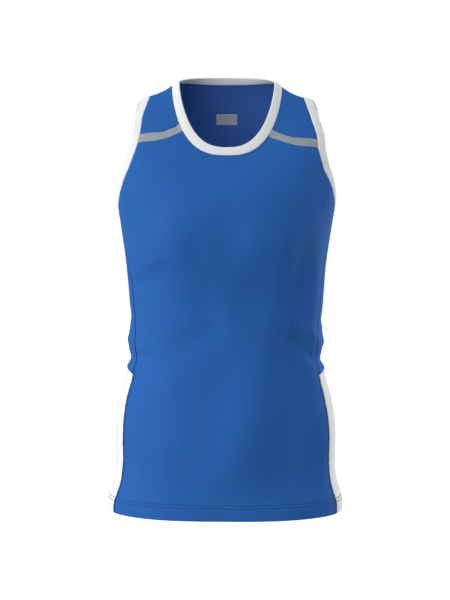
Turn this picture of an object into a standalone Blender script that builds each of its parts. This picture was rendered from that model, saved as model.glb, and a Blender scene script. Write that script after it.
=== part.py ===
"""Sleeveless running top, filled out as if worn, with nobody in it. Metres, +Z up, front towards -Y.

The origin lies midway between the shoulders, level with the neck end of the shoulder line.
Every piece of cloth lies on one form: rings that run round the body from the hem to the neck edge.
A point on the form has a turn, the angle round the ring from the wearer's left side (-90 degrees
is centre front, 90 is centre back), and a station, the distance up the side from the hem.
"""

from collections import namedtuple

import bpy
import numpy as np

# Cloth and making-up sizes
WALL = 0.0012
HEM_WALL = 0.0022
HEM_DEPTH = 0.0205
HEM_STEP = 0.0020
SEAM_GAP = 0.0003
BAND_WALL = 0.0022
ARM_BAND_WIDTH = 0.0125
BAND_ROUND = 0.0011
BAND_NOSE = 0.4
LABEL_WIDTH = 0.032
LABEL_HEIGHT = 0.016
LABEL_WALL = 0.0010
LABEL_MIDDLE = -0.051

# How finely the pieces are divided
FRONT_COLUMNS = 18
BACK_COLUMNS = 18
SHOULDER_COLUMNS = 4
LABEL_COLUMNS = 4
LABEL_ROWS = 2

# The rings, from the hem up. side_x and side_z place the ring at the side; front_y, front_z and
# back_y, back_z at centre front and back. square is the superellipse's power, ridge rounds the
# ring's fold over the shoulder, and lean tips that fold towards the back.
Ring = namedtuple("Ring", "side_x side_z front_y front_z back_y back_z square ridge lean")
RINGS = (
    Ring(0.1762, -0.6400, 0.1180, -0.6400, 0.1200, -0.6400, 2.50, 0.6, 0.0),
    Ring(0.1757, -0.6260, 0.1170, -0.6260, 0.1190, -0.6260, 2.50, 0.6, 0.0),
    Ring(0.1714, -0.6100, 0.1150, -0.6100, 0.1170, -0.6100, 2.45, 0.6, 0.0),
    Ring(0.1668, -0.5950, 0.1140, -0.5950, 0.1160, -0.5950, 2.45, 0.6, 0.0),
    Ring(0.1645, -0.5700, 0.1140, -0.5700, 0.1150, -0.5700, 2.40, 0.6, 0.0),
    Ring(0.1648, -0.5300, 0.1140, -0.5300, 0.1130, -0.5300, 2.40, 0.6, 0.0),
    Ring(0.1630, -0.4950, 0.1120, -0.4950, 0.1060, -0.4950, 2.35, 0.6, 0.0),
    Ring(0.1568, -0.4650, 0.1090, -0.4650, 0.0980, -0.4650, 2.35, 0.6, 0.0),
    Ring(0.1485, -0.4390, 0.1070, -0.4390, 0.0920, -0.4390, 2.35, 0.6, 0.0),
    Ring(0.1436, -0.4150, 0.1050, -0.4150, 0.0890, -0.4150, 2.35, 0.6, 0.0),
    Ring(0.1434, -0.3750, 0.1040, -0.3750, 0.0880, -0.3750, 2.35, 0.6, 0.0),
    Ring(0.1444, -0.3350, 0.1060, -0.3350, 0.0930, -0.3350, 2.35, 0.6, 0.0),
    Ring(0.1478, -0.2950, 0.1110, -0.2950, 0.1000, -0.2950, 2.35, 0.6, 0.0),
    Ring(0.1530, -0.2500, 0.1170, -0.2500, 0.1060, -0.2500, 2.35, 0.6, 0.0),
    Ring(0.1578, -0.2100, 0.1180, -0.2120, 0.1090, -0.2100, 2.35, 0.6, 0.0),
    Ring(0.1635, -0.1700, 0.1150, -0.1860, 0.1090, -0.1760, 2.40, 0.6, 0.0),
    Ring(0.1655, -0.1250, 0.1070, -0.1640, 0.1060, -0.1360, 2.45, 0.6, 0.0),
    Ring(0.1600, -0.0800, 0.0980, -0.1470, 0.1000, -0.0960, 2.50, 0.6, 0.0),
    Ring(0.1450, -0.0480, 0.0915, -0.1360, 0.0930, -0.0600, 2.55, 0.6, 0.0),
    Ring(0.1270, -0.0320, 0.0880, -0.1290, 0.0870, -0.0330, 2.60, 0.6, 0.002),
    Ring(0.1020, -0.0225, 0.0850, -0.1240, 0.0810, -0.0130, 2.70, 0.7, 0.006),
    Ring(0.0815, -0.0115, 0.0825, -0.1200, 0.0745, 0.0005, 2.65, 1.0, 0.016),
    Ring(0.0715, -0.0010, 0.0785, -0.1080, 0.0690, 0.0110, 2.70, 1.0, 0.006),
)
NECK_SEAM_RING = 21

# The armhole seam of the wearer's left side, from the front side seam up over the shoulder, down
# to the back side seam and under the arm: each cut's turn, height and divisions up to the next.
Cut = namedtuple("Cut", "name turn height divisions")
ARMHOLE = (
    Cut("front side seam", -2.0, -0.1965, 3),
    Cut("", -21.3, -0.1761, 2),
    Cut("", -31.2, -0.1537, 2),
    Cut("", -36.9, -0.1347, 3),
    Cut("tape lower edge", -38.0, -0.1045, 1),
    Cut("tape upper edge", -35.3, -0.0915, 3),
    Cut("", -25.0, -0.0587, 2),
    Cut("", -16.4, -0.0406, 1),
    Cut("", -6.0, -0.0288, 1),
    Cut("shoulder seam", 6.0, -0.0278, 1),
    Cut("", 24.0, -0.0390, 2),
    Cut("", 36.5, -0.0610, 2),
    Cut("", 42.5, -0.0860, 2),
    Cut("", 43.5, -0.1120, 2),
    Cut("", 40.5, -0.1370, 2),
    Cut("", 34.0, -0.1580, 2),
    Cut("", 24.0, -0.1760, 2),
    Cut("back side seam", 13.0, -0.1890, 5),
)

# The side panel's seams below the armhole, and the top edge of its white lower part.
SideSeam = namedtuple("SideSeam", "height front_turn back_turn")
SIDE_SEAMS = (
    SideSeam(-0.6400, -27.5, 25.0),
    SideSeam(-0.6000, -28.5, 25.5),
    SideSeam(-0.5000, -28.5, 25.5),
    SideSeam(-0.4370, -27.5, 25.0),
    SideSeam(-0.3900, -27.0, 24.5),
    SideSeam(-0.3300, -23.5, 22.0),
    SideSeam(-0.2800, -20.5, 20.0),
    SideSeam(-0.2350, -12.0, 17.0),
)
WHITE_TOP = -0.4370
WHITE_ARCH = 0.0090

# The grey tape across each shoulder front: its edges' turns at the neck seam, and the half width
# and height of a point on the way to the armhole.
# The top hangs a little askew, so the left tape is lower than this and the right one higher.
TAPE_NECK_TURNS = {"lower": -45.5, "upper": -40.5}
TAPE_MIDDLES = {"lower": (0.1000, -0.1008), "upper": (0.0970, -0.0886)}
TAPE_ASKEW = 0.0034
SHOULDER_TURN = 6.0

# Soft folds and fullness: turn and height of the middle, spread in degrees, rise in metres,
# slope in metres of height for each degree, and depth outwards (+) or inwards (-).
Fold = namedtuple("Fold", "turn height spread rise slope depth")
PAIRED_FOLDS = (
    Fold(-62.0, -0.2450, 17.0, 0.045, 0.0000, 0.0065),
    Fold(-66.0, -0.3250, 18.0, 0.032, 0.0000, -0.0025),
    Fold(64.0, -0.1900, 20.0, 0.050, 0.0000, 0.0030),
    Fold(0.0, -0.3920, 34.0, 0.013, 0.0000, 0.0035),
    Fold(0.0, -0.4150, 34.0, 0.009, 0.0000, -0.0028),
    Fold(0.0, -0.4310, 30.0, 0.008, 0.0000, 0.0020),
    Fold(4.0, -0.3520, 30.0, 0.012, 0.0000, -0.0018),
)
SINGLE_FOLDS = (
    Fold(-40.0, -0.3950, 15.0, 0.012, -0.0011, -0.0035),
    Fold(-44.0, -0.3700, 14.0, 0.012, -0.0011, 0.0020),
    Fold(-60.0, -0.5450, 16.0, 0.060, 0.0000, -0.0030),
    Fold(-112.0, -0.3900, 16.0, 0.022, 0.0012, -0.0025),
    Fold(-140.0, -0.3000, 20.0, 0.012, 0.0003, -0.0022),
    Fold(60.0, -0.4050, 22.0, 0.014, 0.0006, -0.0030),
    Fold(122.0, -0.4150, 22.0, 0.014, -0.0006, -0.0030),
    Fold(70.0, -0.5600, 14.0, 0.055, 0.0000, 0.0025),
    Fold(112.0, -0.5500, 14.0, 0.055, 0.0000, -0.0025),
)

# Principled material values: colour, roughness, metallic
MATERIALS = {
    "blue_cloth": ((0.022, 0.112, 0.390, 1.0), 0.62, 0.0),
    "white_cloth": ((0.860, 0.880, 0.890, 1.0), 0.62, 0.0),
    "white_rib": ((0.780, 0.800, 0.810, 1.0), 0.75, 0.0),
    "grey_tape": ((0.330, 0.370, 0.400, 1.0), 0.40, 0.1),
    "label_print": ((0.200, 0.240, 0.290, 1.0), 0.55, 0.0),
}


def smooth(knots, values, at, closed=0.0):
    """Cubic through the values at the knots. closed is the length of a closed curve, or 0."""
    knots = np.asarray(knots, float)
    values = np.asarray(values, float)
    at = np.asarray(at, float)
    if closed:
        knots = np.concatenate([knots[-2:] - closed, knots, knots[:3] + closed])
        values = np.concatenate([values[-2:], values, values[:3]])
    step = np.diff(knots)
    rise = np.diff(values) / step
    tangent = np.empty_like(values)
    tangent[0], tangent[-1] = rise[0], rise[-1]
    tangent[1:-1] = (rise[:-1] * step[1:] + rise[1:] * step[:-1]) / (step[:-1] + step[1:])
    i = np.clip(np.searchsorted(knots, at, side="right") - 1, 0, len(knots) - 2)
    h = step[i]
    t = (at - knots[i]) / h
    return (
        values[i] * (1 + 2 * t) * (1 - t) ** 2
        + tangent[i] * h * t * (1 - t) ** 2
        + values[i + 1] * t * t * (3 - 2 * t)
        + tangent[i + 1] * h * t * t * (t - 1)
    )


RING_TABLE = {name: np.array([getattr(r, name) for r in RINGS]) for name in Ring._fields}
STATIONS = np.concatenate(
    [[0.0], np.cumsum(np.hypot(np.diff(RING_TABLE["side_x"]), np.diff(RING_TABLE["side_z"])))]
)
NECK_SEAM = STATIONS[NECK_SEAM_RING]
NECK_EDGE = STATIONS[-1]


def ring_at(station):
    """Each column of the ring table at these stations."""
    station = np.clip(station, 0.0, NECK_EDGE)
    return {name: smooth(STATIONS, column, station) for name, column in RING_TABLE.items()}


def fall(reach, ridge):
    """How far the ring has dropped from its side to centre front or back, 0 to 1."""
    return (np.sqrt(reach**2 + ridge**2) - ridge) / (np.sqrt(1 + ridge**2) - ridge)


def smooth_form(turn, station):
    """The form without its folds: a superellipse ring, tilted from its sides to front and back."""
    turn, station = np.broadcast_arrays(np.radians(turn), station)
    ring = ring_at(station)
    cosine, sine = np.cos(turn), np.sin(turn)
    square = ring["square"]
    size = (np.abs(cosine) ** square + np.abs(sine) ** square) ** (1 / square)
    across, along = cosine / size, sine / size
    front = along < 0
    depth = np.where(front, ring["front_y"], ring["back_y"])
    end_z = np.where(front, ring["front_z"], ring["back_z"])
    drop = fall(np.abs(along), ring["ridge"])
    height = ring["side_z"] + (end_z - ring["side_z"]) * drop + ring["lean"] * along * (1 - along**2)
    return np.stack([ring["side_x"] * across, along * depth, height], axis=-1)


def outward(turn, station):
    """Unit normal of the smooth form, from small steps round and up it."""
    small_turn, small_station = 0.2, 0.0005
    round_it = smooth_form(turn + small_turn, station) - smooth_form(turn - small_turn, station)
    up_it = smooth_form(turn, station + small_station) - smooth_form(turn, station - small_station)
    normal = np.cross(round_it, up_it)
    return normal / np.linalg.norm(normal, axis=-1, keepdims=True)


def all_folds():
    """Every fold with its own turn: the paired ones stand on both sides."""
    mirrored = [fold._replace(turn=180.0 - fold.turn, slope=-fold.slope) for fold in PAIRED_FOLDS]
    return [*PAIRED_FOLDS, *mirrored, *SINGLE_FOLDS]


def fold_depth(turn, height):
    """How far the folds push the cloth out at a turn and a height: a sum of leaning bells."""
    total = np.zeros(np.broadcast(turn, height).shape)
    for fold in all_folds():
        away = (turn - fold.turn + 180.0) % 360.0 - 180.0
        up = height - fold.height - fold.slope * away
        total += fold.depth * np.exp(-((away / fold.spread) ** 2) - (up / fold.rise) ** 2)
    return total


def cloth_point(turn, station):
    """(points, normals) of the outer face of the cloth."""
    turn, station = np.broadcast_arrays(np.asarray(turn, float), np.asarray(station, float))
    point = smooth_form(turn, station)
    normal = outward(turn, station)
    return point + normal * fold_depth(turn, point[..., 2])[..., None], normal


def bisect(low, high, too_high):
    """The station between low and high where too_high turns true."""
    for _ in range(40):
        middle = (low + high) / 2
        if too_high(middle):
            high = middle
        else:
            low = middle
    return (low + high) / 2


def at_height(turn, height):
    """(turn, station) of the form's point at a turn and a height."""
    return turn, bisect(0.0, NECK_SEAM, lambda s: smooth_form(turn, s)[2] > height)


def seen_from_front(half_width, height):
    """(turn, station) of the front's point at a half width and a height."""

    def place(station):
        ring = ring_at(station)
        across = min(half_width / ring["side_x"], 1.0)
        along = (1 - across ** ring["square"]) ** (1 / ring["square"])
        return -float(np.degrees(np.arctan2(along, across)))

    found = bisect(0.0, NECK_SEAM, lambda s: smooth_form(place(s), s)[2] > height)
    return place(found), found


def station_of(height):
    """Station of the ring whose side is at this height."""
    return bisect(0.0, NECK_EDGE, lambda s: ring_at(s)["side_z"] > height)


# Lines on the wearer's left half, each an array of (turn, station) rows


def armhole_line(askew):
    """The closed armhole seam, and the index of each named cut on it."""
    cuts = np.array(
        [at_height(cut.turn, cut.height + askew * cut.name.startswith("tape")) for cut in ARMHOLE]
    )
    shown = smooth_form(cuts[:, 0], cuts[:, 1])
    steps = np.linalg.norm(np.diff(shown[[*range(len(cuts)), 0]], axis=0), axis=1)
    knots = np.concatenate([[0.0], np.cumsum(steps)])
    at, names = [], {}
    for i, cut in enumerate(ARMHOLE):
        if cut.name:
            names[cut.name] = len(at)
        at.extend(knots[i] + steps[i] * np.arange(cut.divisions) / cut.divisions)
    line = [smooth(knots[:-1], column, at, closed=knots[-1]) for column in cuts.T]
    return np.stack(line, axis=1), names


def joined(*lines):
    """Lines end to end, each sharing its first point with the last of the one before."""
    return np.concatenate([lines[0], *[line[1:] for line in lines[1:]]])


def mirrored_line(line):
    """The same line or grid on the wearer's right half."""
    return np.stack([180.0 - line[..., 0], line[..., 1]], axis=-1)


def straight(start, end, count):
    """Evenly spaced points of a straight line in turn and station."""
    return np.linspace(start, end, count)


def side_seam(column, end):
    """A side seam from the hem to the armhole, with rows close together at the hem and waist."""
    white_top = station_of(WHITE_TOP)
    waist_top = station_of(-0.3400)
    rows = np.concatenate(
        [
            [0.0, 0.010, HEM_DEPTH - HEM_STEP, HEM_DEPTH],
            np.linspace(HEM_DEPTH, white_top, 11)[1:],
            np.linspace(white_top, waist_top, 12)[1:],
            np.linspace(waist_top, end[1], 9)[1:],
        ]
    )
    knots = [station_of(seam.height) for seam in SIDE_SEAMS]
    turns = [getattr(seam, column) for seam in SIDE_SEAMS]
    line = np.stack([smooth([*knots, end[1]], [*turns, end[0]], rows), rows], axis=1)
    return line, int(np.argmin(np.abs(rows - white_top)))


def tape_line(edge, arm_end, askew):
    """The tape's lower or upper edge, from the neck seam to the armhole."""
    half_width, height = TAPE_MIDDLES[edge]
    middle = seen_from_front(half_width, height + askew)
    neck_end = (neck_turn(edge, askew), NECK_SEAM)
    return smooth_line([neck_end, middle, arm_end], SHOULDER_COLUMNS)


def neck_turn(edge, askew):
    """The turn at which a tape's edge meets the neck seam."""
    turn = TAPE_NECK_TURNS[edge]
    height = smooth_form(turn, NECK_SEAM)[2] + askew
    return bisect(turn - 10.0, turn + 10.0, lambda t: smooth_form(t, NECK_SEAM)[2] > height)


def smooth_line(points, count):
    """A cubic through a few points, cut into count pieces."""
    points = np.array(points)
    shown = smooth_form(points[:, 0], points[:, 1])
    knots = np.concatenate([[0.0], np.cumsum(np.linalg.norm(np.diff(shown, axis=0), axis=1))])
    at = np.linspace(0.0, knots[-1], count + 1)
    return np.stack([smooth(knots, column, at) for column in points.T], axis=1)


def neck_line(start_turn, end_turn, count):
    """Part of the neck seam."""
    return straight((start_turn, NECK_SEAM), (end_turn, NECK_SEAM), count + 1)


def pattern_lines(askew):
    """Every seam and edge of one half, by name, drawn on the left side.

    askew raises the tape, in metres.
    """
    armhole, cut = armhole_line(askew)
    front_seam, white_row = side_seam("front_turn", armhole[cut["front side seam"]])
    back_seam, _ = side_seam("back_turn", armhole[cut["back side seam"]])
    arm_top = armhole[cut["shoulder seam"]]
    whole = np.concatenate([armhole, armhole[:1]])
    arm_bottom = whole[cut["back side seam"] :][::-1]
    arm_yoke = whole[cut["tape upper edge"] : cut["shoulder seam"] + 1]
    split = straight(front_seam[white_row], back_seam[white_row], len(arm_bottom))
    split[:, 1] += WHITE_ARCH * np.sin(np.linspace(0.0, np.pi, len(split)))
    return {
        "armhole": armhole,
        "arm_front_low": whole[: cut["tape lower edge"] + 1],
        "arm_tape": whole[cut["tape lower edge"] : cut["tape upper edge"] + 1],
        "arm_yoke": arm_yoke,
        "arm_back": whole[cut["shoulder seam"] : cut["back side seam"] + 1][::-1],
        "arm_bottom": arm_bottom,
        "front_low": front_seam[: white_row + 1],
        "front_high": front_seam[white_row:],
        "back_low": back_seam[: white_row + 1],
        "back_high": back_seam[white_row:],
        "tape_low": tape_line("lower", armhole[cut["tape lower edge"]], askew),
        "tape_high": tape_line("upper", armhole[cut["tape upper edge"]], askew),
        "shoulder": smooth_line([(SHOULDER_TURN, NECK_SEAM), arm_top], SHOULDER_COLUMNS),
        "split": split,
        "hem": straight(front_seam[0], back_seam[0], len(split)),
        "neck_tape": neck_line(neck_turn("lower", askew), neck_turn("upper", askew), 1),
        "neck_yoke": neck_line(neck_turn("upper", askew), SHOULDER_TURN, len(arm_yoke) - 1),
    }


def patch(bottom, top, left, right):
    """Coons patch between four lines that share their corners: a grid of (turn, station).

    Bottom and top run the way that the turn grows, left and right run up.
    """
    u = np.linspace(0.0, 1.0, len(bottom))[None, :, None]
    v = np.linspace(0.0, 1.0, len(left))[:, None, None]
    ruled_up = (1 - v) * bottom[None] + v * top[None]
    ruled_across = (1 - u) * left[:, None] + u * right[:, None]
    low = (1 - u) * bottom[0] + u * bottom[-1]
    high = (1 - u) * top[0] + u * top[-1]
    return ruled_up + ruled_across - (1 - v) * low - v * high


def rim_of(grid):
    """The points round the edge of a grid, counter-clockwise from its first."""
    return np.concatenate([grid[0], grid[1:, -1], grid[-1, -2::-1], grid[-2:0:-1, 0]])


def draw_in(points, normals):
    """The grid with its rim moved inwards by half a seam gap, square to each edge."""
    index = np.arange(points.shape[0] * points.shape[1]).reshape(points.shape[:2])
    rim = rim_of(index)
    edge = points.reshape(-1, 3)[rim]
    ahead = np.cross(normals.reshape(-1, 3)[rim], np.roll(edge, -1, axis=0) - edge)
    ahead /= np.linalg.norm(ahead, axis=1, keepdims=True)
    behind = np.roll(ahead, 1, axis=0)
    mitre = (ahead + behind) / (1.0 + np.sum(ahead * behind, axis=1, keepdims=True))
    moved = points.reshape(-1, 3).copy()
    moved[rim] += SEAM_GAP / 2 * mitre
    return moved.reshape(points.shape)


def closed_grid(name, outer, inner, material):
    """A closed piece from two matching grids of points, joined round their edges."""
    rows, columns = outer.shape[:2]
    index = np.arange(rows * columns).reshape(rows, columns)
    quads = np.stack([index[:-1, :-1], index[:-1, 1:], index[1:, 1:], index[1:, :-1]], axis=-1)
    quads = quads.reshape(-1, 4)
    rim = rim_of(index)
    after = np.roll(rim, -1)
    behind = rows * columns
    rim_quads = np.stack([rim, rim + behind, after + behind, after], axis=-1)
    faces = np.concatenate([quads, quads[:, ::-1] + behind, rim_quads])
    points = np.concatenate([outer.reshape(-1, 3), inner.reshape(-1, 3)])
    return add_piece(name, points, faces, material)


def add_piece(name, points, faces, material):
    """A named mesh object with its faces turned outwards."""
    mesh = bpy.data.meshes.new(name)
    mesh.from_pydata(points.tolist(), [], faces.tolist())
    mesh.validate()
    mesh.shade_smooth()
    mesh.set_sharp_from_angle(angle=np.radians(50.0))
    mesh.materials.append(material)
    piece = bpy.data.objects.new(name, mesh)
    GARMENT.objects.link(piece)
    return piece


def panel(name, grid, material):
    """A panel of cloth over a grid of (turn, station), thicker where the hem is turned up."""
    turn, station = grid[..., 0], grid[..., 1]
    points, normals = cloth_point(turn, station)
    wall = np.interp(station, [HEM_DEPTH - HEM_STEP, HEM_DEPTH], [HEM_WALL, WALL])
    outer = draw_in(points, normals)
    return closed_grid(name, outer, outer - normals * wall[..., None], material)


def band(name, seam, reach, normals, material):
    """A closed binding: one flat profile with a rounded free edge, carried round a seam.

    reach is the vector from each seam point to the free edge.
    """
    width = np.linalg.norm(reach, axis=1, keepdims=True)
    forward = reach / width
    upward = normals - forward * np.sum(normals * forward, axis=1, keepdims=True)
    upward /= np.linalg.norm(upward, axis=1, keepdims=True)
    middle = seam - upward * WALL / 2
    half = BAND_WALL / 2
    near, far = SEAM_GAP / 2, width - BAND_ROUND
    face = [(near, half), (far, half), (width, BAND_NOSE * half)]
    profile = face + [(across, -height) for across, height in reversed(face)]
    points = np.stack([middle + forward * w + upward * h for w, h in profile], axis=1)
    count, sides = points.shape[:2]
    index = np.arange(count * sides).reshape(count, sides)
    index = np.concatenate([index, index[:1]])
    index = np.concatenate([index, index[:, :1]], axis=1)
    faces = np.stack([index[:-1, :-1], index[1:, :-1], index[1:, 1:], index[:-1, 1:]], axis=-1)
    return add_piece(name, points.reshape(-1, 3), faces.reshape(-1, 4), material)


def armhole_band(name, line, material):
    """The armhole binding, on the left of a closed seam as seen from outside: inside the hole."""
    seam, normals = cloth_point(line[:, 0], line[:, 1])
    ahead = np.roll(seam, -1, axis=0) - np.roll(seam, 1, axis=0)
    reach = np.cross(normals, ahead)
    reach *= ARM_BAND_WIDTH / np.linalg.norm(reach, axis=1, keepdims=True)
    return band(name, seam, reach, normals, material)


def neck_band(name, line, material):
    """The neck binding, from the neck seam up to the form's last ring."""
    seam, normals = cloth_point(line[:, 0], line[:, 1])
    edge, _ = cloth_point(line[:, 0], np.full(len(line), NECK_EDGE))
    return band(name, seam, edge - seam, normals, material)


def neck_label(name, material):
    """A thin plain label on the inside of the back, below the neck."""
    x = np.linspace(LABEL_WIDTH / 2, -LABEL_WIDTH / 2, LABEL_COLUMNS + 1)
    z = LABEL_MIDDLE + np.linspace(-LABEL_HEIGHT / 2, LABEL_HEIGHT / 2, LABEL_ROWS + 1)
    station = np.array([at_height(90.0, height)[1] for height in z])
    half_width = ring_at(station)["side_x"]
    turn = 90.0 - np.degrees(x[None, :] / half_width[:, None])
    points, normals = cloth_point(turn, np.broadcast_to(station[:, None], turn.shape))
    outer = points - normals * (WALL + SEAM_GAP)
    return closed_grid(name, outer, outer - normals * LABEL_WALL, material)


def build_half(side, lines, materials):
    """The pieces that stand on one side: side panels, tape, yoke and armhole binding."""
    pieces = (
        ("side_lower", "white_cloth", ("hem", "split", "front_low", "back_low")),
        ("side_upper", "blue_cloth", ("split", "arm_bottom", "front_high", "back_high")),
        ("shoulder_tape", "grey_tape", ("tape_low", "tape_high", "neck_tape", "arm_tape")),
        ("yoke", "blue_cloth", ("tape_high", "shoulder", "neck_yoke", "arm_yoke")),
    )
    mirrored = side == "right"
    for name, cloth, edges in pieces:
        grid = patch(*[lines[edge] for edge in edges])
        panel(f"{name}_{side}", mirrored_line(grid)[:, ::-1] if mirrored else grid, materials[cloth])
    armhole = mirrored_line(lines["armhole"]) if mirrored else lines["armhole"][::-1]
    armhole_band(f"armhole_binding_{side}", armhole, materials["white_rib"])


def front_edge(lines):
    """The front panel's edge on one side: side seams, armhole and tape."""
    tape = lines["tape_low"][::-1]
    return joined(lines["front_low"], lines["front_high"], lines["arm_front_low"], tape)


def back_edge(lines):
    """The back panel's edge on one side: side seams, armhole and shoulder seam."""
    shoulder = lines["shoulder"][::-1]
    return joined(lines["back_low"], lines["back_high"], lines["arm_back"], shoulder)


def rows_between(start, end, columns):
    """A grid whose rows run straight from one edge to the other."""
    return straight(start, end, columns + 1).swapaxes(0, 1)


def neck_ring(left, right):
    """The whole neck seam, with a point at every point of the pieces that meet it."""
    left_half = joined(left["neck_tape"], left["neck_yoke"])
    right_half = mirrored_line(joined(right["neck_tape"], right["neck_yoke"]))[::-1]
    back = neck_line(left_half[-1, 0], right_half[0, 0], BACK_COLUMNS)
    front = neck_line(right_half[-1, 0], left_half[0, 0] + 360.0, FRONT_COLUMNS)
    return joined(left_half, back, right_half, front)[:-1]


def make_materials():
    """One Principled material for each kind of cloth."""
    made = {}
    for name, (colour, roughness, metallic) in MATERIALS.items():
        material = bpy.data.materials.new(name)
        material.use_nodes = True
        shader = material.node_tree.nodes["Principled BSDF"]
        shader.inputs["Base Color"].default_value = colour
        shader.inputs["Roughness"].default_value = roughness
        shader.inputs["Metallic"].default_value = metallic
        made[name] = material
    return made


for old in list(bpy.data.objects):
    bpy.data.objects.remove(old)
GARMENT = bpy.data.collections.new("running_top")
bpy.context.scene.collection.children.link(GARMENT)
CLOTHS = make_materials()
LEFT, RIGHT = pattern_lines(-TAPE_ASKEW), pattern_lines(TAPE_ASKEW)
front_right = mirrored_line(front_edge(RIGHT)) - (360.0, 0.0)
panel("front_panel", rows_between(front_right, front_edge(LEFT), FRONT_COLUMNS), CLOTHS["blue_cloth"])
back_right = mirrored_line(back_edge(RIGHT))
panel("back_panel", rows_between(back_edge(LEFT), back_right, BACK_COLUMNS), CLOTHS["blue_cloth"])
build_half("left", LEFT, CLOTHS)
build_half("right", RIGHT, CLOTHS)
neck_band("neck_binding", neck_ring(LEFT, RIGHT), CLOTHS["white_rib"])
neck_label("neck_label", CLOTHS["label_print"])
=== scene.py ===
"""A sleeveless running top as it looks filled out, with nobody in it.

Metres, +Z up, front towards -Y, the wearer's left towards +X. Every piece of cloth lies on one
form: rings that run round the body from the hem to the neck edge. A point on the form has a turn,
the angle round the ring from the wearer's left side (-90 degrees is centre front, 90 is centre
back), and a station, the distance up the side from the hem.
"""

import logging
from dataclasses import dataclass, field
from enum import Enum
from typing import Callable, Optional, Sequence

import bpy
import numpy as np
from mathutils import Matrix, Vector
from numpy.typing import NDArray


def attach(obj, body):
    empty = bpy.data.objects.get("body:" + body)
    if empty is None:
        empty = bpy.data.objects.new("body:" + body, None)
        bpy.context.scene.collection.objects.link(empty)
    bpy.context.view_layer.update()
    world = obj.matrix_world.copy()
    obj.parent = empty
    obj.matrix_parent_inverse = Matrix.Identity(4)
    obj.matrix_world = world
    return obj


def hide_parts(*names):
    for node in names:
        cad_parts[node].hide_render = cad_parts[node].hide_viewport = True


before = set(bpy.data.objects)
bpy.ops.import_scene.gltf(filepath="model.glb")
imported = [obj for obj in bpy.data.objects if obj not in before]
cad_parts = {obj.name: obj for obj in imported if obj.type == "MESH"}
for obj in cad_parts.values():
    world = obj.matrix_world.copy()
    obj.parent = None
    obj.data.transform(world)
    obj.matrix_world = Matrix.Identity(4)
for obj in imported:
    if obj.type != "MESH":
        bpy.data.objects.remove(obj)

LOG = logging.getLogger("running_top")
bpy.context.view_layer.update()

Array = NDArray[np.float64]
Colour = tuple[float, float, float]
Lines = dict[str, Array]

# The cloth's walls, its turned-up hem, and the steps of its grids, inwards from an edge first
WALL = 0.0011
HEM_WALL = 0.0021
HEM_FOLD = 0.0240
HEM_STEP = 0.0010
SEAM_GAP = 0.00006
LINE_STEP = 0.0015
CLOTH_STEP = 0.0028
EDGE_STEPS = (0.0, 0.00012, 0.0003, 0.0006, 0.0010, 0.0016, 0.0026, 0.0042)
BACK_TURN = 90.0

UV_NAME = "cloth"
# The point attribute of painted shade at seams, hem edges and hem rows, partly the colour of dark
# thread
SHADE_NAME = "thread_and_painted_seam_shade"


# The form


@dataclass(frozen=True)
class Ring:
    """One ring round the body: its place at the side, at centre front and at centre back.

    square is the power of its superellipse. A small ridge makes its rise at the sides sharp, and
    lean lowers it just in front of the sides and lifts it behind them.
    """

    side_x: float
    side_z: float
    front_y: float
    front_z: float
    back_y: float
    back_z: float
    square: float = 2.35
    ridge: float = 0.6
    lean: float = 0.0


RINGS = (
    Ring(0.1762, -0.6400, 0.1180, -0.6400, 0.1200, -0.6400, 2.50),
    Ring(0.1757, -0.6260, 0.1170, -0.6260, 0.1190, -0.6260, 2.50),
    Ring(0.1714, -0.6100, 0.1150, -0.6100, 0.1170, -0.6100, 2.45),
    Ring(0.1668, -0.5950, 0.1140, -0.5950, 0.1160, -0.5950, 2.45),
    Ring(0.1645, -0.5700, 0.1140, -0.5700, 0.1150, -0.5700, 2.40),
    Ring(0.1648, -0.5300, 0.1140, -0.5300, 0.1130, -0.5300, 2.40),
    Ring(0.1630, -0.4950, 0.1120, -0.4950, 0.1060, -0.4950),
    Ring(0.1568, -0.4650, 0.1090, -0.4650, 0.0980, -0.4650),
    Ring(0.1485, -0.4390, 0.1070, -0.4390, 0.0920, -0.4390),
    Ring(0.1436, -0.4150, 0.1050, -0.4150, 0.0890, -0.4150),
    Ring(0.1434, -0.3750, 0.1040, -0.3750, 0.0880, -0.3750),
    Ring(0.1444, -0.3350, 0.1060, -0.3350, 0.0930, -0.3350),
    Ring(0.1478, -0.2950, 0.1110, -0.2950, 0.1000, -0.2950),
    Ring(0.1530, -0.2500, 0.1170, -0.2500, 0.1060, -0.2500),
    Ring(0.1578, -0.2100, 0.1180, -0.2120, 0.1090, -0.2100),
    Ring(0.1635, -0.1700, 0.1150, -0.1860, 0.1090, -0.1760, 2.40),
    Ring(0.1655, -0.1250, 0.1070, -0.1640, 0.1060, -0.1360, 2.45),
    Ring(0.1600, -0.0800, 0.0980, -0.1470, 0.1000, -0.0960, 2.50),
    Ring(0.1450, -0.0480, 0.0915, -0.1360, 0.0930, -0.0600, 2.55),
    Ring(0.1270, -0.0320, 0.0880, -0.1290, 0.0870, -0.0330, 2.60, 0.6, 0.002),
    Ring(0.1020, -0.0225, 0.0850, -0.1240, 0.0810, -0.0130, 2.70, 0.7, 0.006),
    Ring(0.0815, -0.0115, 0.0825, -0.1200, 0.0745, 0.0005, 2.65, 1.0, 0.016),
    Ring(0.0712, -0.0032, 0.0785, -0.1080, 0.0690, 0.0110, 2.60, 1.0, 0.006),
)
NECK_SEAM_RING = 21


@dataclass(frozen=True)
class Fold:
    """A wide soft fold: its middle, spread in degrees, rise, slope for each degree, and depth."""

    turn: float
    height: float
    spread: float
    rise: float
    slope: float
    depth: float


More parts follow.
